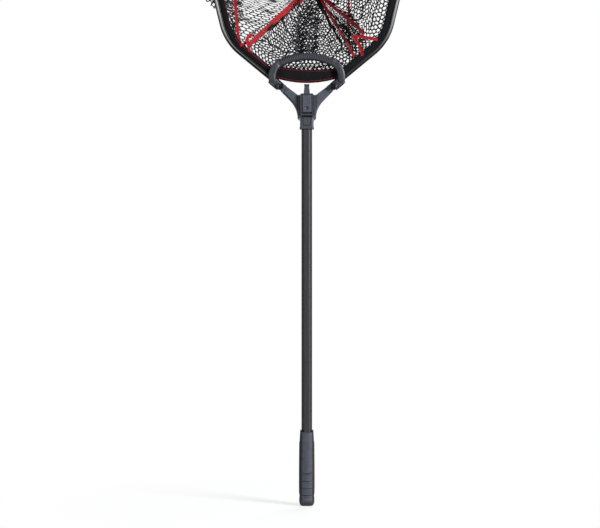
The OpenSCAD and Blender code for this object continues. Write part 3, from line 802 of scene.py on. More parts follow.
def narrow_land(length, inset, y):
    """The bright land, a painted highlight, narrows on the lower diagonals."""
    upright = smooth01((from_socket(length) - 60) / 150.0)
    if y < -4.3 and 3.05 < inset < 7.8:
        middle = 5.45 * upright + 6.0 * (1 - upright)
        return middle + (inset - 5.45) * (0.36 + 0.64 * upright) - inset, 0.0
    if y < -3.75 and 7.8 < inset < 9:
        return -(1 - upright) * (9 - inset) / 1.1, 0.0
    return 0.0, 0.0


def build_hoop():
    stations = rim_stations(-20.5, 4.0)
    mesh, uv = sweep_rim(HOOP_PROFILE, stations, narrow_land, uv_pitch=1.0)
    columns = [int(k in BRIGHT_COLUMNS) for k in range(len(HOOP_PROFILE))]
    face_slots = columns * (len(stations) - 1) + [0, 0]
    hoop = make_piece("hoop_frame", mesh, "hoop", sharp=50, uv=uv,
                      accent=("bright", face_slots))
    # painted highlight: the land is bright on the sides and dull on the diagonals; painted shade makes
    # it duller down the right half
    tone = []
    for length in stations:
        highlight_tone = 0.30 + 0.55 * smooth01((from_socket(length) - 70) / 190.0)
        tone += [highlight_tone - (0.20 if length < HALF_LENGTH else 0.0)] * len(HOOP_PROFILE)
    set_painted_light(hoop, tone)
    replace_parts(hoop, "hoop")


def inner_sway(length):
    """Slow wander of the sleeve's inner edge and the piping that follows it."""
    return waver(length * 0.018, 0.3, 0, 4)


def pucker_sleeve(length, inset, y):
    """Soft puckers across the sleeve."""
    ripple = math.sin(length * 0.30 + 1.3 * math.sin(length * 0.041))
    pucker = 0.55 * ripple * (0.35 + 0.65 * abs(waver(length * 0.02, 0, 0, 1)))
    dent = 1.3 * waver(length * 0.03, inset * 0.05, 0, 2)
    dent += 0.5 * waver(length * 0.12, inset * 0.15, y, 3)
    inner = smooth01((inset - 12) / 12)
    return ((1.5 * inner_sway(length) + 0.5 * pucker) * inner,
            dent * 0.7 + pucker * 0.55 * (1 if y < 0 else -0.4))


def build_sleeve():
    """Flattened tube of cloth: wide in the hoop's plane, thin across it."""
    profile = []
    for i in range(22):
        a = -2 * math.pi * i / 22
        profile.append((18.1 + 7.4 * signed_power(math.cos(a), 0.75),
                        3.5 * signed_power(math.sin(a), 0.85)))
    mesh, uv = sweep_rim(profile, rim_stations(4.0, 3.2), pucker_sleeve, uv_pitch=1.1)
    sleeve = make_piece("rim_cloth", mesh, "sleeve", sharp=80, uv=uv)
    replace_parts(sleeve, "rim_sleeve")


def build_piping():
    """On the sleeve's front face by the left socket, behind its inner edge elsewhere."""
    points = []
    for length in np.arange(6, HOOP_LENGTH - 6, 3.0):
        front = smooth01((length - (HOOP_LENGTH - 175)) / 60.0)
        side = smooth01((length - (HOOP_LENGTH - 470)) / 200.0) * (1 - front)
        inset = (22.6 + 2.4 * side + 1.3 * inner_sway(length)) * (1 - front) + 21.6 * front
        y = (3.6 * (1 - side) + 1.2 * side) * (1 - front) - 3.5 * front
        x, z = rim(length, inset)
        points.append((x, y + 0.4 * waver(length * 0.03, 2.2, 0, 6), z))
    mesh = cord(points, radius=0.95)
    index = np.arange(len(mesh[0]))
    uv = np.stack([index // 10 * 3.0 * MILLI, index % 10 * 0.7 * MILLI], 1)
    piping = make_piece("rim_cord", mesh, "piping", sharp=80, uv=uv)
    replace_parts(piping, "rim_piping")


build_hoop()
build_sleeve()
build_piping()


# ------------------------------------------------------------------ throat band
def band_edges(x):
    """Bottom and top z of the band."""
    bottom = FOLD_Z + 11.4 + 7.4 * (x / 60.0) ** 2 + 1.5 * smooth01((abs(x) - 70) / 8.0)
    top = FOLD_Z + 44.5 - 4.2 * math.cos(math.radians(x * 1.3)) - 2.4 * x / 66.0
    return bottom, top


def end_set_back(x):
    """0 along the band's middle, 1 at its ends, which sit farther back."""
    return smooth01((abs(x) - 56) / 14)


def build_band_cloth():
    rows, cols = 108, 15
    front, uv = [], []
    for x in np.linspace(-78, 78, rows):
        bottom, top = band_edges(x)
        for j in range(cols):
            s = j / (cols - 1)
            z = bottom + (top - bottom) * s
            y = -1.7 - 0.9 * math.sin(math.pi * s) + 0.8 * end_set_back(x)
            y += 0.8 * waver(x * 0.05, s * 1.6, 0, 7) + 0.35 * waver(x * 0.16, s * 4, 0, 8)
            front.append((x, y, z))
            uv.append((x * MILLI, z * MILLI))
    front = np.array(front)
    back = front.copy()
    back[:, 1] = 1.9 + 0.4 * (back[:, 1] + 1.7)
    shift = len(front)
    faces = grid_faces(rows, cols, closed=False)
    faces += [tuple(shift + i for i in face[::-1]) for face in faces]
    # close the border between front and back
    border = [r * cols for r in range(rows)]
    border += [(rows - 1) * cols + c for c in range(1, cols)]
    border += [r * cols + cols - 1 for r in range(rows - 2, -1, -1)]
    border += list(range(cols - 2, 0, -1))
    for a, b in zip(border, border[1:] + border[:1]):
        faces.append((b, a, shift + a, shift + b))
    mesh = (np.vstack([front, back]), faces)
    cloth = make_piece("throat_cloth", mesh, "sleeve", uv=uv + uv)
    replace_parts(cloth, "throat_band")


def build_band_edges():
    """Black binding rolled round each edge, with a red cord just inside it."""
    bindings, cords = [], []
    # (edge index, binding's lift, cord's lift) for the top and the bottom
    for edge, roll_lift, cord_lift in ((1, 0.2, -2.0), (0, -0.2, 2.2)):
        roll, line = [], []
        for x in np.linspace(-77, 77, 100):
            z = band_edges(x)[edge]
            set_back = end_set_back(x)
            roll.append((x, -0.2 + 0.5 * set_back, z + roll_lift))
            line.append((x, -2.55 + 0.9 * set_back + 0.25 * waver(x * 0.06, 3.1, 0, 9),
                         z + cord_lift + 0.25 * waver(x * 0.07, 0, 0, 10)))
        bindings.append(cord(roll, radius=2.0, sides=12, squash=0.75))
        cords.append(cord(line, radius=0.95))
    make_piece("throat_binding", join(bindings), "binding", sharp=80)
    piping = make_piece("throat_cords", join(cords), "piping", sharp=80)
    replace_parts(piping, "throat_piping")


build_band_cloth()
build_band_edges()

# ------------------------------------------------------------------ hanging shape of the bag
BAG_AXIS = np.array([8.0, FOLD_Z + 273.0])  # (x, z) of the bag's end
BAG_DEPTH = 208.0
BAG_POWER = 1.5


def mouth_curve():
    """Closed mouth line (x, z), evenly spaced, from the throat's centre going right; length."""
    throat = [(x, FOLD_Z + 41.0 - 2 * math.cos(math.radians(x * 1.3)))
              for x in np.linspace(0, 66, 14)]
    points = throat + [tuple(rim(length, 23.5))
                       for length in np.arange(26, HOOP_LENGTH - 26 + 0.1, 4.0)]
    points += [(-x, z) for x, z in throat[:0:-1]]
    closed = np.array(points + points[:1])
    return resample(closed, 721)[:-1], run_lengths(closed)[-1]


MOUTH, MOUTH_LENGTH = mouth_curve()
MOUTH_ANGLES = np.arctan2(MOUTH[:, 1] - BAG_AXIS[1], MOUTH[:, 0] - BAG_AXIS[0])


def mouth_at(share):
    """Mouth points at shares of the way round."""
    count = len(MOUTH)
    t = (np.asarray(share) % 1.0) * count
    i = np.floor(t).astype(int) % count
    part = (t - np.floor(t))[..., None]
    return MOUTH[i] * (1 - part) + MOUTH[(i + 1) % count] * part


def mouth_share(x, z):
    """Share round the mouth in the direction of (x, z) from the bag's axis."""
    wanted = math.atan2(z - BAG_AXIS[1], x - BAG_AXIS[0])
    gap = np.abs(np.angle(np.exp(1j * (MOUTH_ANGLES - wanted))))
    return int(np.argmin(gap)) / len(MOUTH)


def bag_surface(share, size):
    """Points of the slack bag at a share round the mouth and a size, 1 at the mouth, 0 at the end."""
    share = np.asarray(share, float)
    size = np.clip(np.asarray(size, float), 0.0, 1.0)
    mouth = mouth_at(share)
    flat = BAG_AXIS + (mouth - BAG_AXIS) * size[..., None]
    depth = 1 - np.power(size, BAG_POWER)
    # the left side hangs out behind the hoop
    bulge = np.where(
        mouth[..., 0] > 0, 0.0,
        (115 - 60 * depth) * np.sin(np.pi * np.minimum(1, depth * 1.45))
        * np.exp(-(((mouth[..., 1] - (FOLD_Z + 255)) / 118.0) ** 2))
        * np.minimum(1, -mouth[..., 0] / 160.0))
    # slack waves, fading out at the sewn edge and at the end
    slack = np.clip((1 - size) / 0.25, 0, 1) * np.clip(size / 0.2, 0, 1)
    turn = 2 * np.pi * share
    wave = (3.5 * np.sin(9 * turn + 4 * size) + 2.5 * np.sin(17 * turn - 7 * size + 1.0)
            + 2.5 * np.sin(5 * turn + 11 * size))
    out = mouth - BAG_AXIS
    out = out / np.maximum(np.linalg.norm(out, axis=-1)[..., None], 1e-6)
    x = flat[..., 0] + out[..., 0] * wave * slack - bulge
    y = 4.6 + BAG_DEPTH * depth - 3.0 * slack + 2.0 * np.cos(11 * turn + 5 * size) * slack
    z = flat[..., 1] + out[..., 1] * wave * slack
    return np.stack([x, y, z], -1)


def on_bag(x, z, off):
    """Point off the bag's front that the camera sees at (x, z) of the mouth's plane."""
    y = 0.0
    for _ in range(6):
        spread = 1 + y / -EYE[1]
        px, pz = EYE[0] + (x - EYE[0]) * spread, EYE[2] + (z - EYE[2]) * spread
        share = np.array([mouth_share(px, pz)])
        reach = np.linalg.norm(mouth_at(share)[0] - BAG_AXIS)
        size = min(1.0, np.linalg.norm(np.array([px, pz]) - BAG_AXIS) / reach)
        y = max(bag_surface(share, np.array([size]))[0][1] - off, 1.0)
    return np.array([px, y, pz])


# Seam tapes: (width, distance off the bag, points along, whether the net lies calmer by it,
# (x, z) as seen in the mouth's plane)
TAPES = [
    # lower left corner to the middle, and a second tape beside it
    (7.4, 19, 70, True, [(-146, 1107), (-138, 1110), (-129, 1117), (-112, 1134), (-84, 1160),
                         (-56, 1186), (-26, 1213.5), (-4, 1231)]),
    (6.4, 14, 70, False, [(-140, 1104), (-130, 1110), (-117, 1121), (-92, 1142), (-70, 1166),
                          (-40, 1190), (-10, 1214), (2, 1226)]),
    # lower right corner to the middle
    (8.2, 19, 70, True, [(137, 1131), (124.6, 1146), (103, 1165), (80, 1182), (60, 1199),
                         (45, 1213), (12, 1238), (0, 1246)]),
    # from low on the right, more steeply to the middle
    (7.0, 17, 70, True, [(118, 1071), (108, 1088), (96, 1110), (80, 1136), (62, 1166),
                         (47, 1192), (36, 1213), (24, 1240)]),
    # up the left side
    (7.0, 9, 110, True, [(-160, 1104), (-163, 1120), (-166, 1140), (-168, 1165), (-171, 1190),
                         (-173, 1213), (-177, 1260), (-180, 1330), (-172, 1410), (-150, 1480)]),
    # up the right side
    (5.0, 0.5, 90, True, [(104, 1092), (101, 1120), (100, 1160), (101, 1213), (108, 1270),
                          (118, 1330), (140, 1420)]),
    # upper left and upper right to the middle
    (7.0, 3.5, 90, True, [(-196, 1545), (-170, 1505), (-130, 1440), (-90, 1375), (-50, 1310),
                          (-14, 1250)]),
    (7.0, 3.5, 90, True, [(196, 1545), (170, 1505), (130, 1440), (85, 1370), (45, 1310),
                          (8, 1252)]),
]
CALM_LINES = [[on_bag(x, z, 3.0)[[0, 2]] for x, z in points]
              for _, _, _, calm, points in TAPES if calm]


# ------------------------------------------------------------------ folds and mesh of the bag
def running_integral(rows, step):
    """Trapezoid sums along each row, starting at 0."""
    sums = np.cumsum((rows[:, 1:] + rows[:, :-1]) / 2 * step, axis=1)
    return np.concatenate([np.zeros((len(rows), 1)), sums], 1)


# A fold is a path whose direction swings as swing * sin(phase). The table gives how far it has
# moved sideways from its outermost line, in units of wavelength / 2 pi.
SWINGS = np.linspace(0, 2.3, 47)
PHASES = np.linspace(0, 2 * math.pi, 97)
FOLD_PATH = running_integral(np.sin(SWINGS[:, None] * np.sin(PHASES)[None, :]), PHASES[1])
FOLD_OUT = FOLD_PATH.max(1)[:, None] - FOLD_PATH


def bilinear(table, row, col):
    rows, cols = table.shape
    row = np.clip(row, 0, rows - 1.001)
    col = np.clip(col, 0, cols - 1.001)
    r, c = row.astype(int), col.astype(int)
    fr, fc = row - r, col - c
    return (table[r, c] * (1 - fr) * (1 - fc) + table[r + 1, c] * fr * (1 - fc)
            + table[r, c + 1] * (1 - fr) * fc + table[r + 1, c + 1] * fr * fc)


def fold_offset(swing, phase, wavelength):
    phase = np.mod(phase, 2 * math.pi)
    return wavelength / 6.283 * bilinear(FOLD_OUT, swing / SWINGS[1], phase / PHASES[1])


def line_distance(points, line):
    """Distance of points (n, 2) from a polyline."""
    nearest = np.full(len(points), 1e9)
    for a, b in zip(line[:-1], line[1:]):
        t = np.clip(((points - a) @ (b - a)) / max((b - a) @ (b - a), 1e-9), 0, 1)
        nearest = np.minimum(nearest, np.linalg.norm(points - (a + t[:, None] * (b - a)), axis=1))
    return nearest


class SlackPanel:
    """Slack fabric of one panel: takes flat (x, run from the mouth) to a folded place in space.

    span: shares round the mouth where it starts and ends.
    swing: (base, bumps of (gain, x, z, x radius, z radius)) of the folds met going down the bag.
    cross_swing: the same for folds met going across, one number.
    waves: wavelengths down and across.
    give: weight of depth in the fabric's run; the rubber is pulled longer where it is steep.
    back: set back along Y. region: keeps only the part where it holds at (x, z).
    """

    STEP = 2.0  # spacing of the tables, down and across

    def __init__(self, span, swing, cross_swing, waves, seed, give=0.55, back=0.0, region=None,
                 calm=()):
        self.middle, self.half_span = (span[0] + span[1]) / 2, (span[1] - span[0]) / 2
        self.wave_down, self.wave_across = waves
        self.back, self.region = back, region
        shifts = np.random.RandomState(seed).uniform(0, 6.28, 3)
        self.lay_down(swing, give, calm, shifts)
        self.lay_across(cross_swing, MOUTH_LENGTH * (span[1] - span[0]), shifts)

    def lay_down(self, swing, give, calm, shifts):
        """Size, swing and phase at each row down the fabric and each place across."""
        count = 61
        across = np.linspace(-1, 1, count)
        share = self.middle + across * self.half_span
        edge = np.clip((1 - np.abs(across)) / 0.16, 0, 1)
        size = np.ones(count)
        sizes, swings, phases = [size], [np.zeros(count)], [np.zeros(count)]
        base, bumps = swing
        run = 0.0
        while run < 1500 and size.max() > 0.04:
            here = bag_surface(share, size)
            beyond = bag_surface(share, np.clip(size - 0.004, 0, 1))
            rate = np.linalg.norm((beyond - here) * np.array([1, give, 1]), axis=1) / 0.004
            flat = here[:, [0, 2]]
            amount = base + sum(
                gain * np.exp(-(((flat[:, 0] - x) / x_radius) ** 2)
                              - ((flat[:, 1] - z) / z_radius) ** 2)
                for gain, x, z, x_radius, z_radius in bumps)
            amount = amount * edge * min(1.0, run / 34.0) * np.clip(size / 0.12, 0, 1)
            for line in calm:
                amount = amount * (0.3 + 0.7 * smooth01((line_distance(flat, line) - 4) / 10))
            phase = (2 * math.pi * run / self.wave_down
                     + 1.9 * np.sin(2.2 * across + shifts[0])
                     + 1.2 * np.sin(5.1 * across + 0.017 * run + shifts[1])
                     + 0.9 * np.sin(0.043 * run + shifts[2]))
            forward = np.cos(amount * np.sin(phase)) * self.STEP
            size = np.clip(size - forward / np.maximum(rate, 30), 0.0, 1.0)
            sizes.append(size)
            swings.append(amount)
            phases.append(phase)
            run += self.STEP
        self.sizes, self.swings, self.phases = np.array(sizes), np.array(swings), np.array(phases)
        self.length = run

    def lay_across(self, cross_swing, full_width, shifts):
        """Gathered x, swing and phase at each row and each flat x."""
        self.row_sizes = self.sizes.mean(1)
        self.widths = full_width * self.row_sizes
        half = int(full_width * 1.9 / 2 / self.STEP)
        self.flat_x = np.arange(-half, half + 1) * self.STEP
        runs = (np.arange(len(self.sizes)) * self.STEP)[:, None]
        amount = cross_swing * np.clip(self.row_sizes[:, None] / 0.3, 0, 1)
        self.cross_swings = amount * np.minimum(1.0, runs / 60.0) * np.ones(len(self.flat_x))
        self.cross_phases = (2 * math.pi * self.flat_x / self.wave_across
                             + 1.5 * np.sin(0.021 * runs + shifts[1])
                             + 1.1 * np.sin(0.013 * self.flat_x + 0.03 * runs + shifts[2]))
        forward = np.cos(self.cross_swings * np.sin(self.cross_phases))
        self.gathered = running_integral(forward, self.STEP)
        self.gathered -= self.gathered[:, half:half + 1].copy()
        # folds fade towards the seams
        off_middle = np.abs(self.gathered) / np.maximum(self.widths[:, None] / 2, 1)
        self.fade = np.clip((1 - off_middle) / 0.2, 0, 1)

    def locate(self, x, run):
        """Table row and column, gathered x and panel width."""
        row = np.clip(run / self.STEP, 0, len(self.sizes) - 1.001)
        col = (x - self.flat_x[0]) / self.STEP
        width = np.interp(row, np.arange(len(self.widths)), self.widths)
        return row, col, bilinear(self.gathered, row, col), width

    def __call__(self, flat):
        row, col, gathered, width = self.locate(flat[..., 0], flat[..., 1])
        across = np.clip(gathered / np.maximum(width / 2, 1e-3), -1, 1)
        place = (across + 1) / 2 * (self.sizes.shape[1] - 1)
        size = bilinear(self.sizes, row, place)
        share = self.middle + across * self.half_span
        offset = fold_offset(bilinear(self.swings, row, place),
                             bilinear(self.phases, row, place), self.wave_down)
        offset = offset + bilinear(self.fade, row, col) * fold_offset(
            bilinear(self.cross_swings, row, col), bilinear(self.cross_phases, row, col),
            self.wave_across)
        offset = offset * np.clip((1 - np.abs(across)) / 0.08, 0, 1)
        # folds stand forward and a little inward of the hanging shape
        around = bag_surface(share + 0.004, size) - bag_surface(share - 0.004, size)
        down = (bag_surface(share, np.clip(size + 0.02, 0, 1))
                - bag_surface(share, np.clip(size - 0.02, 0, 1)))
        normal = np.cross(around, down)
        normal /= np.maximum(np.linalg.norm(normal, axis=-1)[..., None], 1e-6)
        flip = np.where(normal[..., 1] > 0, -1.0, 1.0)[..., None]
        normal = normal * flip * 0.35 + np.array([0, -0.65, 0])
        normal /= np.linalg.norm(normal, axis=-1)[..., None]
        points = bag_surface(share, size) + normal * offset[..., None] * 0.8
        points[..., 1] = np.maximum(points[..., 1], 4.4) + self.back * np.clip(size / 0.4, 0, 1)
        return points

    def inside(self, x, run, margin):
        row, _, gathered, width = self.locate(x, run)
        size = np.interp(row, np.arange(len(self.row_sizes)), self.row_sizes)
        kept = (np.abs(gathered) < width / 2 + margin) & (size > 0.045)
        if self.region is not None:
            points = self(np.stack([x, run], -1))
            kept &= np.array([self.region(a, b) for a, b in points[:, [0, 2]]])
        return kept


def hex_mesh(panel, seed, pitch=11.4, width=2.7, shift=(0.0, 0.0)):
    """Rubber mesh over one panel: hexagonal cells with rounded strands and bulky knots.

    Each cell's ring runs knot, strand middle, knot and so on, 12 points.
    """
    thick = 2.4
    side = pitch / math.sqrt(3)
    row_height = 1.5 * side
    rows = int(panel.length / row_height) + 1
    cols = int(2 * abs(panel.flat_x[0]) / pitch) + 2
    centres = np.array([
        ((c + 0.5 * (r % 2) + shift[0]) * pitch, (r + shift[1]) * row_height)
        for r in range(rows) for c in range(-cols // 2, cols // 2 + 1)])
    centres = centres[panel.inside(centres[:, 0], centres[:, 1], pitch * 0.5)]
    known, flat, rings = {}, [], []

    def shared_point(x, y):
        key = (int(round(x * 8)), int(round(y * 8)))
        if key not in known:
            known[key] = len(flat)
            flat.append((x, y))
        return known[key]

    for cx, cy in centres:
        corners = []
        for k in range(7):
            angle = math.pi / 6 + k * math.pi / 3
            corners.append((cx + side * math.cos(angle), cy + side * math.sin(angle)))
        ring = []
        for (x0, y0), (x1, y1) in zip(corners, corners[1:]):
            ring.append(shared_point(x0, y0))
            ring.append(shared_point((x0 + x1) / 2, (y0 + y1) / 2))
        rings.append(ring)
    flat, rings = np.array(flat), np.array(rings)
    flat = flat + np.random.RandomState(seed + 3).normal(0, 0.06 * pitch, flat.shape)
    is_knot = np.zeros(len(flat), bool)
    is_knot[rings[:, ::2].ravel()] = True
    points = panel(flat)
    reach = 1.2
    step_x, step_y = np.array([reach, 0]), np.array([0, reach])
    normal = np.cross(panel(flat + step_x) - panel(flat - step_x),
                      panel(flat + step_y) - panel(flat - step_y))
    size = np.linalg.norm(normal, axis=1)[:, None]
    normal = np.where(size > 1e-4, normal / np.maximum(size, 1e-4), np.array([0, -1.0, 0]))
    half_thick = np.where(is_knot, thick * 0.72, thick * 0.5)[:, None]
    # the hole's edge lies in from each ring point towards the cell's centre
    outer = points[rings]
    to_centre = outer.mean(1)[:, None, :] - outer
    distance = np.linalg.norm(to_centre, axis=2)
    half_width = np.where(np.arange(12) % 2 == 0, width * 0.5 * 1.95, width * 0.5)
    inset = np.minimum(0.86, half_width[None, :] / np.maximum(distance, 1e-6))
    hole = outer + to_centre * inset[..., None]
    raised = normal * half_thick
    verts = np.vstack([points + raised, points - raised, hole.reshape(-1, 3)])
    count = len(points)
    faces, edge_uses = [], {}
    for cell, ring in enumerate(rings.tolist()):
        first = 2 * count + cell * 12
        for i in range(12):
            j = (i + 1) % 12
            a, b = ring[i], ring[j]
            faces.append((a, b, first + j, first + i))
            faces.append((count + b, count + a, first + i, first + j))
            edge_uses.setdefault((min(a, b), max(a, b)), []).append((a, b))
    # walls along the outer border
    for uses in edge_uses.values():
        if len(uses) == 1:
            a, b = uses[0]
            faces.append((b, a, count + a, count + b))
    return verts, faces


def clean_mesh(piece):
    bm = bmesh.new()
    bm.from_mesh(piece.data)
    bmesh.ops.remove_doubles(bm, verts=bm.verts, dist=0.00002)
    bmesh.ops.dissolve_degenerate(bm, edges=bm.edges, dist=0.00002)
    loose = [v for v in bm.verts if not v.link_faces]
    bmesh.ops.delete(bm, geom=loose, context="VERTS")
    bm.to_mesh(piece.data)
    bm.free()


LOWER_LEFT = mouth_share(-153, 1102)
LOWER_RIGHT = mouth_share(158, 1108)
UPPER_LEFT = mouth_share(-205, 1560)
UPPER_RIGHT = mouth_share(205, 1560)
LOWER_SPAN = (LOWER_LEFT - 1.0, LOWER_RIGHT)
RIGHT_SPAN = (LOWER_RIGHT, UPPER_RIGHT)
LEFT_SPAN = (UPPER_LEFT, LOWER_LEFT)


def middle_region(x, z):
    centre, half = 2 + 0.10 * (z - 1180), 30 + 12 * waver(z * 0.02, 1, 0, 31)
    limit = 1 + 0.35 * waver(x * 0.03, z * 0.03, 0, 32)
    return ((x - centre) / half) ** 2 + ((z - 1190) / 128) ** 2 < limit


def corner_region(x, z):
    limit = 1 + 0.5 * waver(x * 0.05, z * 0.05, 0, 33)
    return ((x - 112 + 0.18 * (z - 1130)) / 24) ** 2 + ((z - 1128) / 70) ** 2 < limit


def left_region(x, z):
    return -208 < x < -166 + 8 * waver(z * 0.03, 0, 0, 35) and 1105 < z < 1290


def hem_region(x, z):
    return z < 1062 + 6 * waver(x * 0.04, 0, 0, 36) and abs(x) < 96


# (name, span, swing, cross swing, waves, give, mesh pitch, strand width)
BAG_PANELS = [
    ("bag_lower", LOWER_SPAN, (1.1, [(0.25, 0, 1175, 70, 80), (0.5, 116, 1118, 34, 46)]),
     1.15, (52, 46), 0.55, 10.5, 3.1),
    ("bag_right", RIGHT_SPAN, (0.95, [(0.25, 120, 1200, 60, 70)]),
     1.0, (60, 52), 0.55, 11.0, 2.8),
    ("bag_upper", (UPPER_RIGHT, UPPER_LEFT), (0.9, []), 0.8, (80, 66), 0.55, 11.4, 2.7),
    ("bag_left", LEFT_SPAN, (0.6, []), 0.5, (60, 60), 0.28, 11.2, 2.7),
]
# fabric doubled up behind: (name, span, swing, cross swing, waves, set back, region)
BAG_FOLDS = [
    ("bag_fold_hem", LOWER_SPAN, 1.5, 1.2, (34, 30), 9.0, hem_region),
    ("bag_fold_corner_back", RIGHT_SPAN, 1.3, 1.3, (36, 32), 16.0, corner_region),
    ("bag_fold_middle", LOWER_SPAN, 1.2, 1.2, (44, 40), 14.0, middle_region),
    ("bag_fold_corner", LOWER_SPAN, 1.3, 1.3, (40, 36), 10.0, corner_region),
    ("bag_fold_left", LEFT_SPAN, 1.2, 1.2, (40, 36), 6.0, left_region),
]


def build_net(name, mesh):
    net = make_piece(name, mesh, "mesh", sharp=None)
    clean_mesh(net)
    return net


def build_bag():
    for k, (name, span, swing, cross, waves, give, pitch, width) in enumerate(BAG_PANELS):
        panel = SlackPanel(span, swing, cross, waves, seed=k + 5, give=give, calm=CALM_LINES)
        net = build_net(name, hex_mesh(panel, seed=k, pitch=pitch, width=width))
        if name == "bag_lower":
            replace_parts(net, "net_bag")
    for k, (name, span, swing, cross, waves, back, region) in enumerate(BAG_FOLDS):
        panel = SlackPanel(span, (swing, []), cross, waves, seed=k + 21, back=back, region=region)
        build_net(name, hex_mesh(panel, seed=k + 9, shift=(0.37, 0.6)))


build_bag()


# ------------------------------------------------------------------ tapes
def ribbon(points, width, thick, curl, twist=0.0):
    """Mesh and UVs of a flat tape facing the front; twist turns it, curl cups it."""
    cols = 7
    twist = np.broadcast_to(twist, len(points))
    around = [*range(cols), *range(cols, 0, -1)]
    rings, uv = [], []
    for point, tangent, turn, run in zip(points, tangents(points), twist, run_lengths(points)):
        side = unit(np.cross(tangent, -AXIS_Y))
        normal = unit(np.cross(side, tangent))
        across = math.cos(turn) * side + math.sin(turn) * normal
        up = -math.sin(turn) * side + math.cos(turn) * normal
        top, bottom = [], []
        for j in range(cols):
            s = j / (cols - 1) * 2 - 1
            cup = curl * (s * s - 0.5)
            half = thick / 2 * (1 - 0.55 * abs(s) ** 4)
            top.append(point + across * s * width / 2 + up * (cup + half))
            bottom.append(point + across * s * width / 2 + up * (cup - half))
        rings.append(top + bottom[::-1])
        uv += [(run * MILLI, j * width / cols * MILLI) for j in around]
    return solid(rings), uv


def make_ribbons(name, ribbons):
    uv = [pair for _, pairs in ribbons for pair in pairs]
    return make_piece(name, join([mesh for mesh, _ in ribbons]), "tape", uv=uv)


def build_tapes():
    ribbons = []
    for seed, (width, off, count, _, points) in enumerate(TAPES, start=11):
        line = smooth_curve([on_bag(x, z, off) for x, z in points], count)
        for i in range(count):
            line[i] += (1.2 * waver(i * 0.18, 0, 0, seed),
                        0.96 * waver(i * 0.15, 6, 0, seed + 2),
                        1.2 * waver(i * 0.18, 3, 0, seed + 1))
        twist = [0.25 * math.sin(i * 0.13 + seed) for i in range(count)]
        ribbons.append(ribbon(line, width, thick=1.0, curl=0.8, twist=twist))
    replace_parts(make_ribbons("bag_tapes", ribbons), "seam_tapes")


def build_corner_ties():
    """Loops that tie the bag's corners to the sleeve, two on the left and one on the right."""
    left_loop = smooth_curve([
        (-131, 3, 1131), (-137, -3, 1128), (-141.8, -6, 1122), (-142.4, -6, 1114),
        (-140.5, -5.5, 1103), (-138, -4.5, 1094), (-137.5, -3.2, 1089)], 50)
    left_stub = smooth_curve([
        (-160, -3.6, 1103), (-156, -4, 1105), (-150, -3, 1108), (-144, 0, 1111)], 24)
    right_loop = smooth_curve([
        (169.5, -4.2, 1117.5), (158, -6, 1119.5), (145, -6.5, 1121.5), (130, -6.5, 1124),
        (117, -5, 1125.5), (112.5, -3, 1123.5), (115, -4, 1119), (121, -6, 1111),
        (126.5, -6.5, 1103), (130.5, -6, 1093), (132.5, -5, 1084), (133.2, -4, 1078)], 120)
    right_twist = [0.35 * math.sin(i * 0.045) for i in range(120)]
    ties = make_ribbons("corner_ties", [
        ribbon(left_loop, 7.0, thick=1.1, curl=1.0, twist=[0.5 - 0.01 * i for i in range(50)]),
        ribbon(left_stub, 6.5, thick=1.1, curl=0.6),
        ribbon(right_loop, 7.6, thick=1.2, curl=0.9, twist=right_twist),
    ])
    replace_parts(ties, "corner_loops")


build_tapes()
build_corner_ties()

# ------------------------------------------------------------------ sockets with the bail's legs
# The right arm's own frame: along the hoop's end, and square to it towards the inside.
ARM_ALONG = np.array([math.cos(LOW_HEADING), 0, math.sin(LOW_HEADING)])
ARM_ACROSS = np.array([-math.sin(LOW_HEADING), 0, math.cos(LOW_HEADING)])
ARM_END = np.array([58.8, 0, FOLD_Z - 0.75])

BAIL_RADIUS = 138.0
BAIL_Y = -6.2
BAIL_Z = FOLD_Z + 73 - BAIL_RADIUS

# stations as (along, low across, high across, front y, back y)
SOCKET_BODY = [
    (5.2, -12.0, 5.2, -7.6, 8.2), (5.8, -12.9, 6.2, -8.6, 8.9), (9, -13.3, 6.4, -9.6, 9.2),
    (18, -13.3, 7.0, -10.4, 9.5), (26, -13.2, 7.6, -10.2, 9.4), (31, -12.7, 7.2, -9.6, 9.0),
    (33.6, -11.4, 6.4, -8.2, 8.2), (34.6, -9.4, 5.0, -6.4, 6.8),
]
HINGE_BLOCK = [
    (5.15, 0.5, 8.0, -7.4, 7.6), (5.6, 0, 8.8, -8.2, 8.4), (12, 0, 9.0, -8.4, 8.6),
    (19, 0, 9.4, -8.0, 8.4), (24, 0, 9.4, -7.0, 8.2), (27.6, 1, 8.8, -6.0, 7.6),
    (28.2, 2, 8.0, -5.2, 6.6),
]
# (along, radius) of the bead on the lower front edge
SOCKET_LIP = [(6.2, 0.6), (7, 1.6), (12, 2.2), (22, 2.3), (29, 2.1), (33, 1.5), (34.2, 0.6)]
# (x, radius) of the lug over the hinge's outer ear
SOCKET_LUG = [(66.95, 6.5), (67.3, 6.8), (71.2, 6.8), (71.7, 6.4)]
# (x, y, z above the fold) up the leg, before it turns over into the grip
LEG_PATH = [
    (82.2, -6.6, 9.6), (82.6, -7.4, 13), (83.0, -8.6, 17), (83.2, -9.2, 22.5),
    (82.4, -9.4, 31), (79.0, -9.4, 41.5), (73.2, -8.4, 50.2),
]


def arm_point(along, across, y):
    return ARM_END + along * ARM_ALONG + across * ARM_ACROSS + y * AXIS_Y


def arm_solid(stations, power):
    rings = []
    for along, low, high, front, back in stations:
        centre = arm_point(along, (low + high) / 2, (front + back) / 2)
        rings.append(super_ring(centre, ARM_ACROSS, AXIS_Y, (high - low) / 2, (back - front) / 2,
                                power=power))
    return outward(solid(rings))


def socket_lip():
    rings = []
    for along, radius in SOCKET_LIP:
        centre = arm_point(along, -11.6, -8.9 if along < 30 else -7.8)
        rings.append(super_ring(centre, ARM_ACROSS, AXIS_Y, radius, radius, count=14, power=1.0))
    return outward(solid(rings))


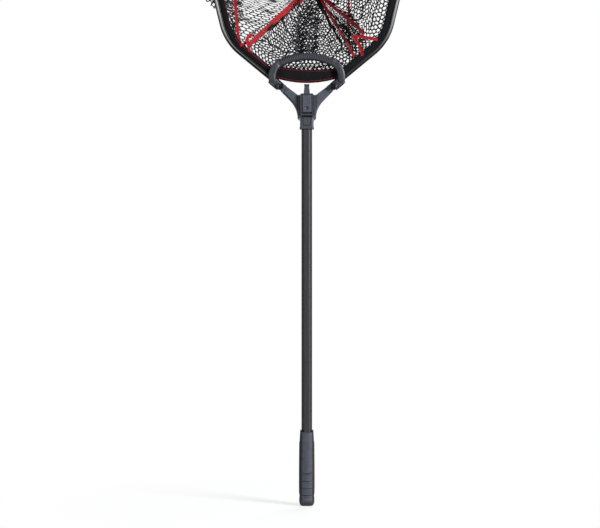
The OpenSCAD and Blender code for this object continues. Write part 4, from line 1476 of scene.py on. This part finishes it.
def bail_leg():
    path = [(x, y, FOLD_Z + up) for x, y, up in LEG_PATH]
    # the last two points lie on the bail's arc, by degrees from the top
    for degrees in (29.4, 25.9):
        a = math.radians(90 - degrees)
        path.append((BAIL_RADIUS * math.cos(a), BAIL_Y, BAIL_Z + BAIL_RADIUS * math.sin(a)))
    line = smooth_curve(path, 46)
    rings = []
    for i, (point, tangent) in enumerate(zip(line, tangents(line))):
        share = i / (len(line) - 1)
        half_width = np.interp(share, [0, 0.08, 0.3, 0.7, 1], [6.6, 8.4, 9.2, 9.0, 9.0])
        half_depth = np.interp(share, [0, 0.08, 0.35, 0.7, 1], [5.4, 6.1, 6.3, 6.7, 7.7])
        side = unit(np.cross(tangent, AXIS_Y))
        rings.append(super_ring(point, side, AXIS_Y, half_width, half_depth, power=0.62))
    return outward(solid(rings))


def hinge_lug():
    """Disc about the fold line, drawn out towards the back."""
    rings = []
    for x, radius in SOCKET_LUG:
        ring = []
        for i in range(26):
            w = 2 * math.pi * i / 26
            y = math.cos(w) * (radius if math.cos(w) < 0 else radius + 5.5)
            ring.append((x, FOLD_Y + y, FOLD_Z + math.sin(w) * radius))
        rings.append(ring)
    return outward(solid(rings))


def fused(name, meshes, look):
    """Merges overlapping closed parts into one skin with soft inner corners."""
    points, faces = join(meshes)
    data = bpy.data.meshes.new(name)
    data.from_pydata((points * MILLI).tolist(), [], faces)
    piece = bpy.data.objects.new(name, data)
    bpy.context.scene.collection.objects.link(piece)
    remesh = piece.modifiers.new("join", "REMESH")
    remesh.mode = "VOXEL"
    remesh.voxel_size = 0.7 * MILLI
    remesh.adaptivity = 0.0
    soften = piece.modifiers.new("soften", "SMOOTH")
    soften.factor = 0.5
    soften.iterations = 3
    depsgraph = bpy.context.evaluated_depsgraph_get()
    depsgraph.update()
    skin = bpy.data.meshes.new_from_object(piece.evaluated_get(depsgraph))
    piece.modifiers.clear()
    piece.data = skin
    skin.materials.clear()
    skin.materials.append(LOOKS[look])
    skin.polygons.foreach_set("use_smooth", [True] * len(skin.polygons))
    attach(piece, "head")
    return piece


def socket_painted_light(points):
    """Painted light and shade, as a tone at points (mm) of the right socket."""
    along, across = (points - ARM_END) @ ARM_ALONG, (points - ARM_END) @ ARM_ACROSS
    x, y, up = points[:, 0], points[:, 1], points[:, 2] - FOLD_Z
    front = y < -4
    tone = np.full(len(points), 0.72)
    # painted shade on the lower edge where it slopes away, with a painted highlight line above it
    low = front & (along < 36) & (across < 12)
    tone = np.where(low, tone * (1 - 0.45 * smooth01((-across - 10.4) / 0.8)), tone)
    line = np.exp(-((across + 9.7) / 0.75) ** 2)
    line = line * smooth01((along - 11) / 5) * smooth01((36 - along) / 4)
    tone = np.where(front, tone + 0.95 * line, tone)
    # the hinge end lies in shade
    shade = 0.42 * smooth01((21 - along) / 8) * smooth01((across + 9.5) / 2.5)
    tone = np.where(across < 12, tone * (1 - shade), tone)
    # painted shade on the inner side of the leg
    inner = smooth01((up - 10) / 10) * smooth01((82.5 - x - 0.08 * (up - 20)) / 4)
    return tone * (1 - 0.22 * inner * smooth01((48 - up) / 10))


def build_sockets():
    right = [arm_solid(SOCKET_BODY, 0.42), bail_leg(), socket_lip(), hinge_lug()]
    for side, parts in (("right", right), ("left", [mirrored(part) for part in right])):
        shell = fused(side + "_socket_shell", parts, "socket")
        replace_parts(shell, side + "_socket")
        points = np.empty(len(shell.data.vertices) * 3)
        shell.data.vertices.foreach_get("co", points)
        points = points.reshape(-1, 3) / MILLI
        points[:, 0] = np.abs(points[:, 0])
        set_painted_light(shell, socket_painted_light(points))


def build_hinge_blocks():
    """Black blocks that show above each socket's inner edge."""
    block = arm_solid(HINGE_BLOCK, 0.3)
    for side, mesh in (("right", block), ("left", mirrored(block))):
        make_piece(side + "_hinge_block", mesh, "ink", sharp=40)


def build_bail_grip():
    """Arched grip with ribs across its upper part and a smooth band below them."""
    half_angle = math.radians(27.0)
    total = 2 * half_angle * BAIL_RADIUS
    rows, around = 420, 44
    half_depth = 8.25
    rings, uv, tone = [], [], []
    for i in range(rows):
        share = i / (rows - 1)
        a = math.pi / 2 - half_angle + 2 * half_angle * share
        off_middle = abs(share * 2 - 1)
        from_end = (1 - off_middle) * total / 2
        length = share * total
        half_height = 9.1 + 0.4 * off_middle**2
        end = min(1.0, math.sqrt(max(0.0, from_end / 1.2) + 0.15))
        ring = []
        for j in range(around):
            w = 2 * math.pi * j / around
            up = half_height * signed_power(math.cos(w), 0.62)
            back = half_depth * signed_power(math.sin(w), 0.70)
            rib = 0.0
            if from_end > 3.0:
                wave = 0.5 + 0.5 * math.cos(2 * math.pi * length / 4.3)
                rib = -1.35 * smooth01((up + 3.6) / 1.6) * wave**2.0
                # shallow line where the ribs stop
                rib -= 0.45 * math.exp(-((up + 4.0) / 0.6) ** 2)
            # painted light: the smooth band below the ribs is lighter as a painted highlight, the rib
            # grooves get painted shade, and the tone is darker at the grip's very ends
            tone.append(0.98 + 0.14 * smooth01((-up - 3.4) / 1.5) + 0.36 * max(rib, -1.4)
                        - 0.35 * (1 - smooth01(from_end / 0.9)))
            r = BAIL_RADIUS + up * end + rib * (up / half_height)
            y = BAIL_Y + back * end + rib * (back / half_depth)
            ring.append((r * math.cos(a), y, BAIL_Z + r * math.sin(a)))
            uv.append((length * MILLI, j * MILLI))
        rings.append(ring)
    grip = make_piece("bail_handle", solid(rings), "bail", uv=uv)
    set_painted_light(grip, tone)
    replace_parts(grip, "bail_grip")


build_sockets()
build_hinge_blocks()
build_bail_grip()


# ------------------------------------------------------------------ springs of the release button
def build_coil():
    """Coil under the button, wound along Y."""
    coil_z = COLLAR_Z + 72
    turns, per_turn, radius = 4, 26, 3.9
    count = turns * per_turn
    points = []
    for i in range(count + 1):
        a = 2 * math.pi * i / per_turn
        points.append((radius * math.cos(a), -8.2 - 5.4 * i / count,
                       coil_z + radius * math.sin(a)))
    mesh = outward(cord(points, radius=0.45, sides=9))
    coil = make_piece("release_coil", mesh, "steel", "yoke_body", sharp=80)
    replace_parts(coil, "button_spring")
    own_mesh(coil)


def plate(half_width, low, high, front, back, chamfer=0.15):
    """Thin plate facing Y; low and high are above the collar."""
    centre_z, half_height = COLLAR_Z + (low + high) / 2, (high - low) / 2
    rings = []
    for y, trim in ((front, chamfer), (front + chamfer, 0), (back - chamfer, 0), (back, chamfer)):
        rings.append(super_ring(np.array([0, y, centre_z]), AXIS_X, AXIS_Z, half_width - trim,
                                half_height - trim, count=40, power=0.16))
    return outward(solid(rings))


def build_latch_leaf():
    """Upright leaf, its tooth in front, and a ledge running back from its top."""
    leaf = plate(13.4, 39, 66, 7.9, 8.7)
    tooth = plate(7.4, 42.4, 47, 4.6, 8.1, chamfer=0.5)
    ledge = plate(13.0, 65.2, 66, 8.2, 14.4)
    latch = make_piece("latch_leaf", join([leaf, tooth, ledge]), "steel", "yoke_body",
                       sharp=40)
    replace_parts(latch, "latch_spring")
    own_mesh(latch)


build_coil()
build_latch_leaf()

# ------------------------------------------------------------------ CAD pieces kept as they are
CAD_LOOKS = {
    "handle_tube": "tube", "head_fitting": "slate", "fitting_rivet": "steel_dark",
    "tongue_tip": "tip", "yoke": "yoke", "latch_bezel": "slate_dark",
    "back_cover": "slate_dark", "cover_screws": "steel_dark",
    "left_hinge_knuckle": "ink", "right_hinge_knuckle": "ink", "knuckle_rivets": "slate_dark",
    "release_button": "button", "left_hinge_clevis": "ink", "right_hinge_clevis": "ink",
    "hinge_pins": "steel_dark", "hinge_washers": "washer", "socket_screws": "steel_dark",
    "bail_core": "recess",
}
for node_name, look_name in CAD_LOOKS.items():
    cad_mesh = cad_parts[node_name].data
    cad_mesh.materials.clear()
    cad_mesh.materials.append(LOOKS[look_name])
    cad_mesh.polygons.foreach_set("use_smooth", [True] * len(cad_mesh.polygons))
    cad_mesh.set_sharp_from_angle(angle=math.radians(28))

# ------------------------------------------------------------------ stage, light, camera
scene = bpy.context.scene


def floor_material():
    """Pale ground, lit by the lights near the net and glowing white farther out."""
    graph = Graph(bpy.data.materials.new("floor_pale"))
    lit = graph.node("BsdfDiffuse", {0: (0.86, 0.86, 0.86)}).outputs[0]
    # strength 1 to the camera and 0.28 as a light, so the ground doesn't flatten the shading
    seen = graph.node("LightPath").outputs["Is Camera Ray"]
    strength = graph.math("ADD", graph.times(seen, 0.72), 0.28)
    glow = graph.node("Emission", {0: (1, 1, 1), 1: strength}).outputs[0]
    away = graph.node("VectorMath", {0: graph.place}, operation="LENGTH").outputs["Value"]
    share = graph.ramp(graph.times(away, 0.4), span=(0.015, 0.30), to=(0.62, 1.0),
                       interpolation="EASE")
    mixed = graph.node("MixShader", {0: share, 1: lit, 2: glow}).outputs[0]
    graph.node("OutputMaterial", {0: mixed})
    return graph.owner


def build_floor():
    bm = bmesh.new()
    bmesh.ops.create_circle(bm, cap_ends=True, radius=60.0, segments=96)
    data = bpy.data.meshes.new("floor")
    bm.to_mesh(data)
    bm.free()
    floor = bpy.data.objects.new("floor", data)
    scene.collection.objects.link(floor)
    data.materials.append(floor_material())


def build_world():
    """White to the camera, a dim cool fill to everything else."""
    world = bpy.data.worlds.new("studio")
    scene.world = world
    graph = Graph(world)
    backdrop = graph.node("Background", {0: (1.0, 1.0, 1.0), 1: 1.0}).outputs[0]
    fill = graph.node("Background", {0: (0.93, 0.95, 1.0), 1: 0.33}).outputs[0]
    seen = graph.node("LightPath").outputs["Is Camera Ray"]
    mixed = graph.node("MixShader", {0: seen, 1: fill, 2: backdrop}).outputs[0]
    graph.node("OutputWorld", {0: mixed})


def area_light(name, place, target, size, power, colour=(1, 1, 1)):
    data = bpy.data.lights.new(name, "AREA")
    data.shape = "RECTANGLE"
    data.size, data.size_y = size
    data.energy = power
    data.color = colour
    light = bpy.data.objects.new(name, data)
    scene.collection.objects.link(light)
    light.location = place
    light.rotation_mode = "QUATERNION"
    light.rotation_quaternion = (Vector(target) - Vector(place)).to_track_quat("-Z", "Y")


def build_camera():
    data = bpy.data.cameras.new("camera")
    camera = bpy.data.objects.new("camera", data)
    scene.collection.objects.link(camera)
    scene.camera = camera
    data.type = "PERSP"
    data.sensor_width = 36.0
    data.lens = 100.0
    data.clip_start, data.clip_end = 0.05, 200.0
    camera.location = EYE * MILLI
    camera.rotation_mode = "QUATERNION"
    camera.rotation_quaternion = Vector((0, 1, 0)).to_track_quat("-Z", "Y")


build_floor()
build_world()
area_light("key", place=(3.0, -2.3, 1.9), target=(0, 0, 0.70), size=(1.2, 2.4), power=240)
area_light("fill", place=(-2.6, -2.4, 1.6), target=(0, 0, 0.9), size=(1.6, 2.4), power=26,
           colour=(0.95, 0.97, 1.0))
area_light("back", place=(0.6, 2.6, 2.6), target=(0, 0, 1.1), size=(2.0, 1.6), power=60)
build_camera()
scene.view_settings.view_transform = "Standard"
scene.view_settings.look = "None"
scene.view_settings.exposure = 0.0
scene.view_settings.gamma = 1.0
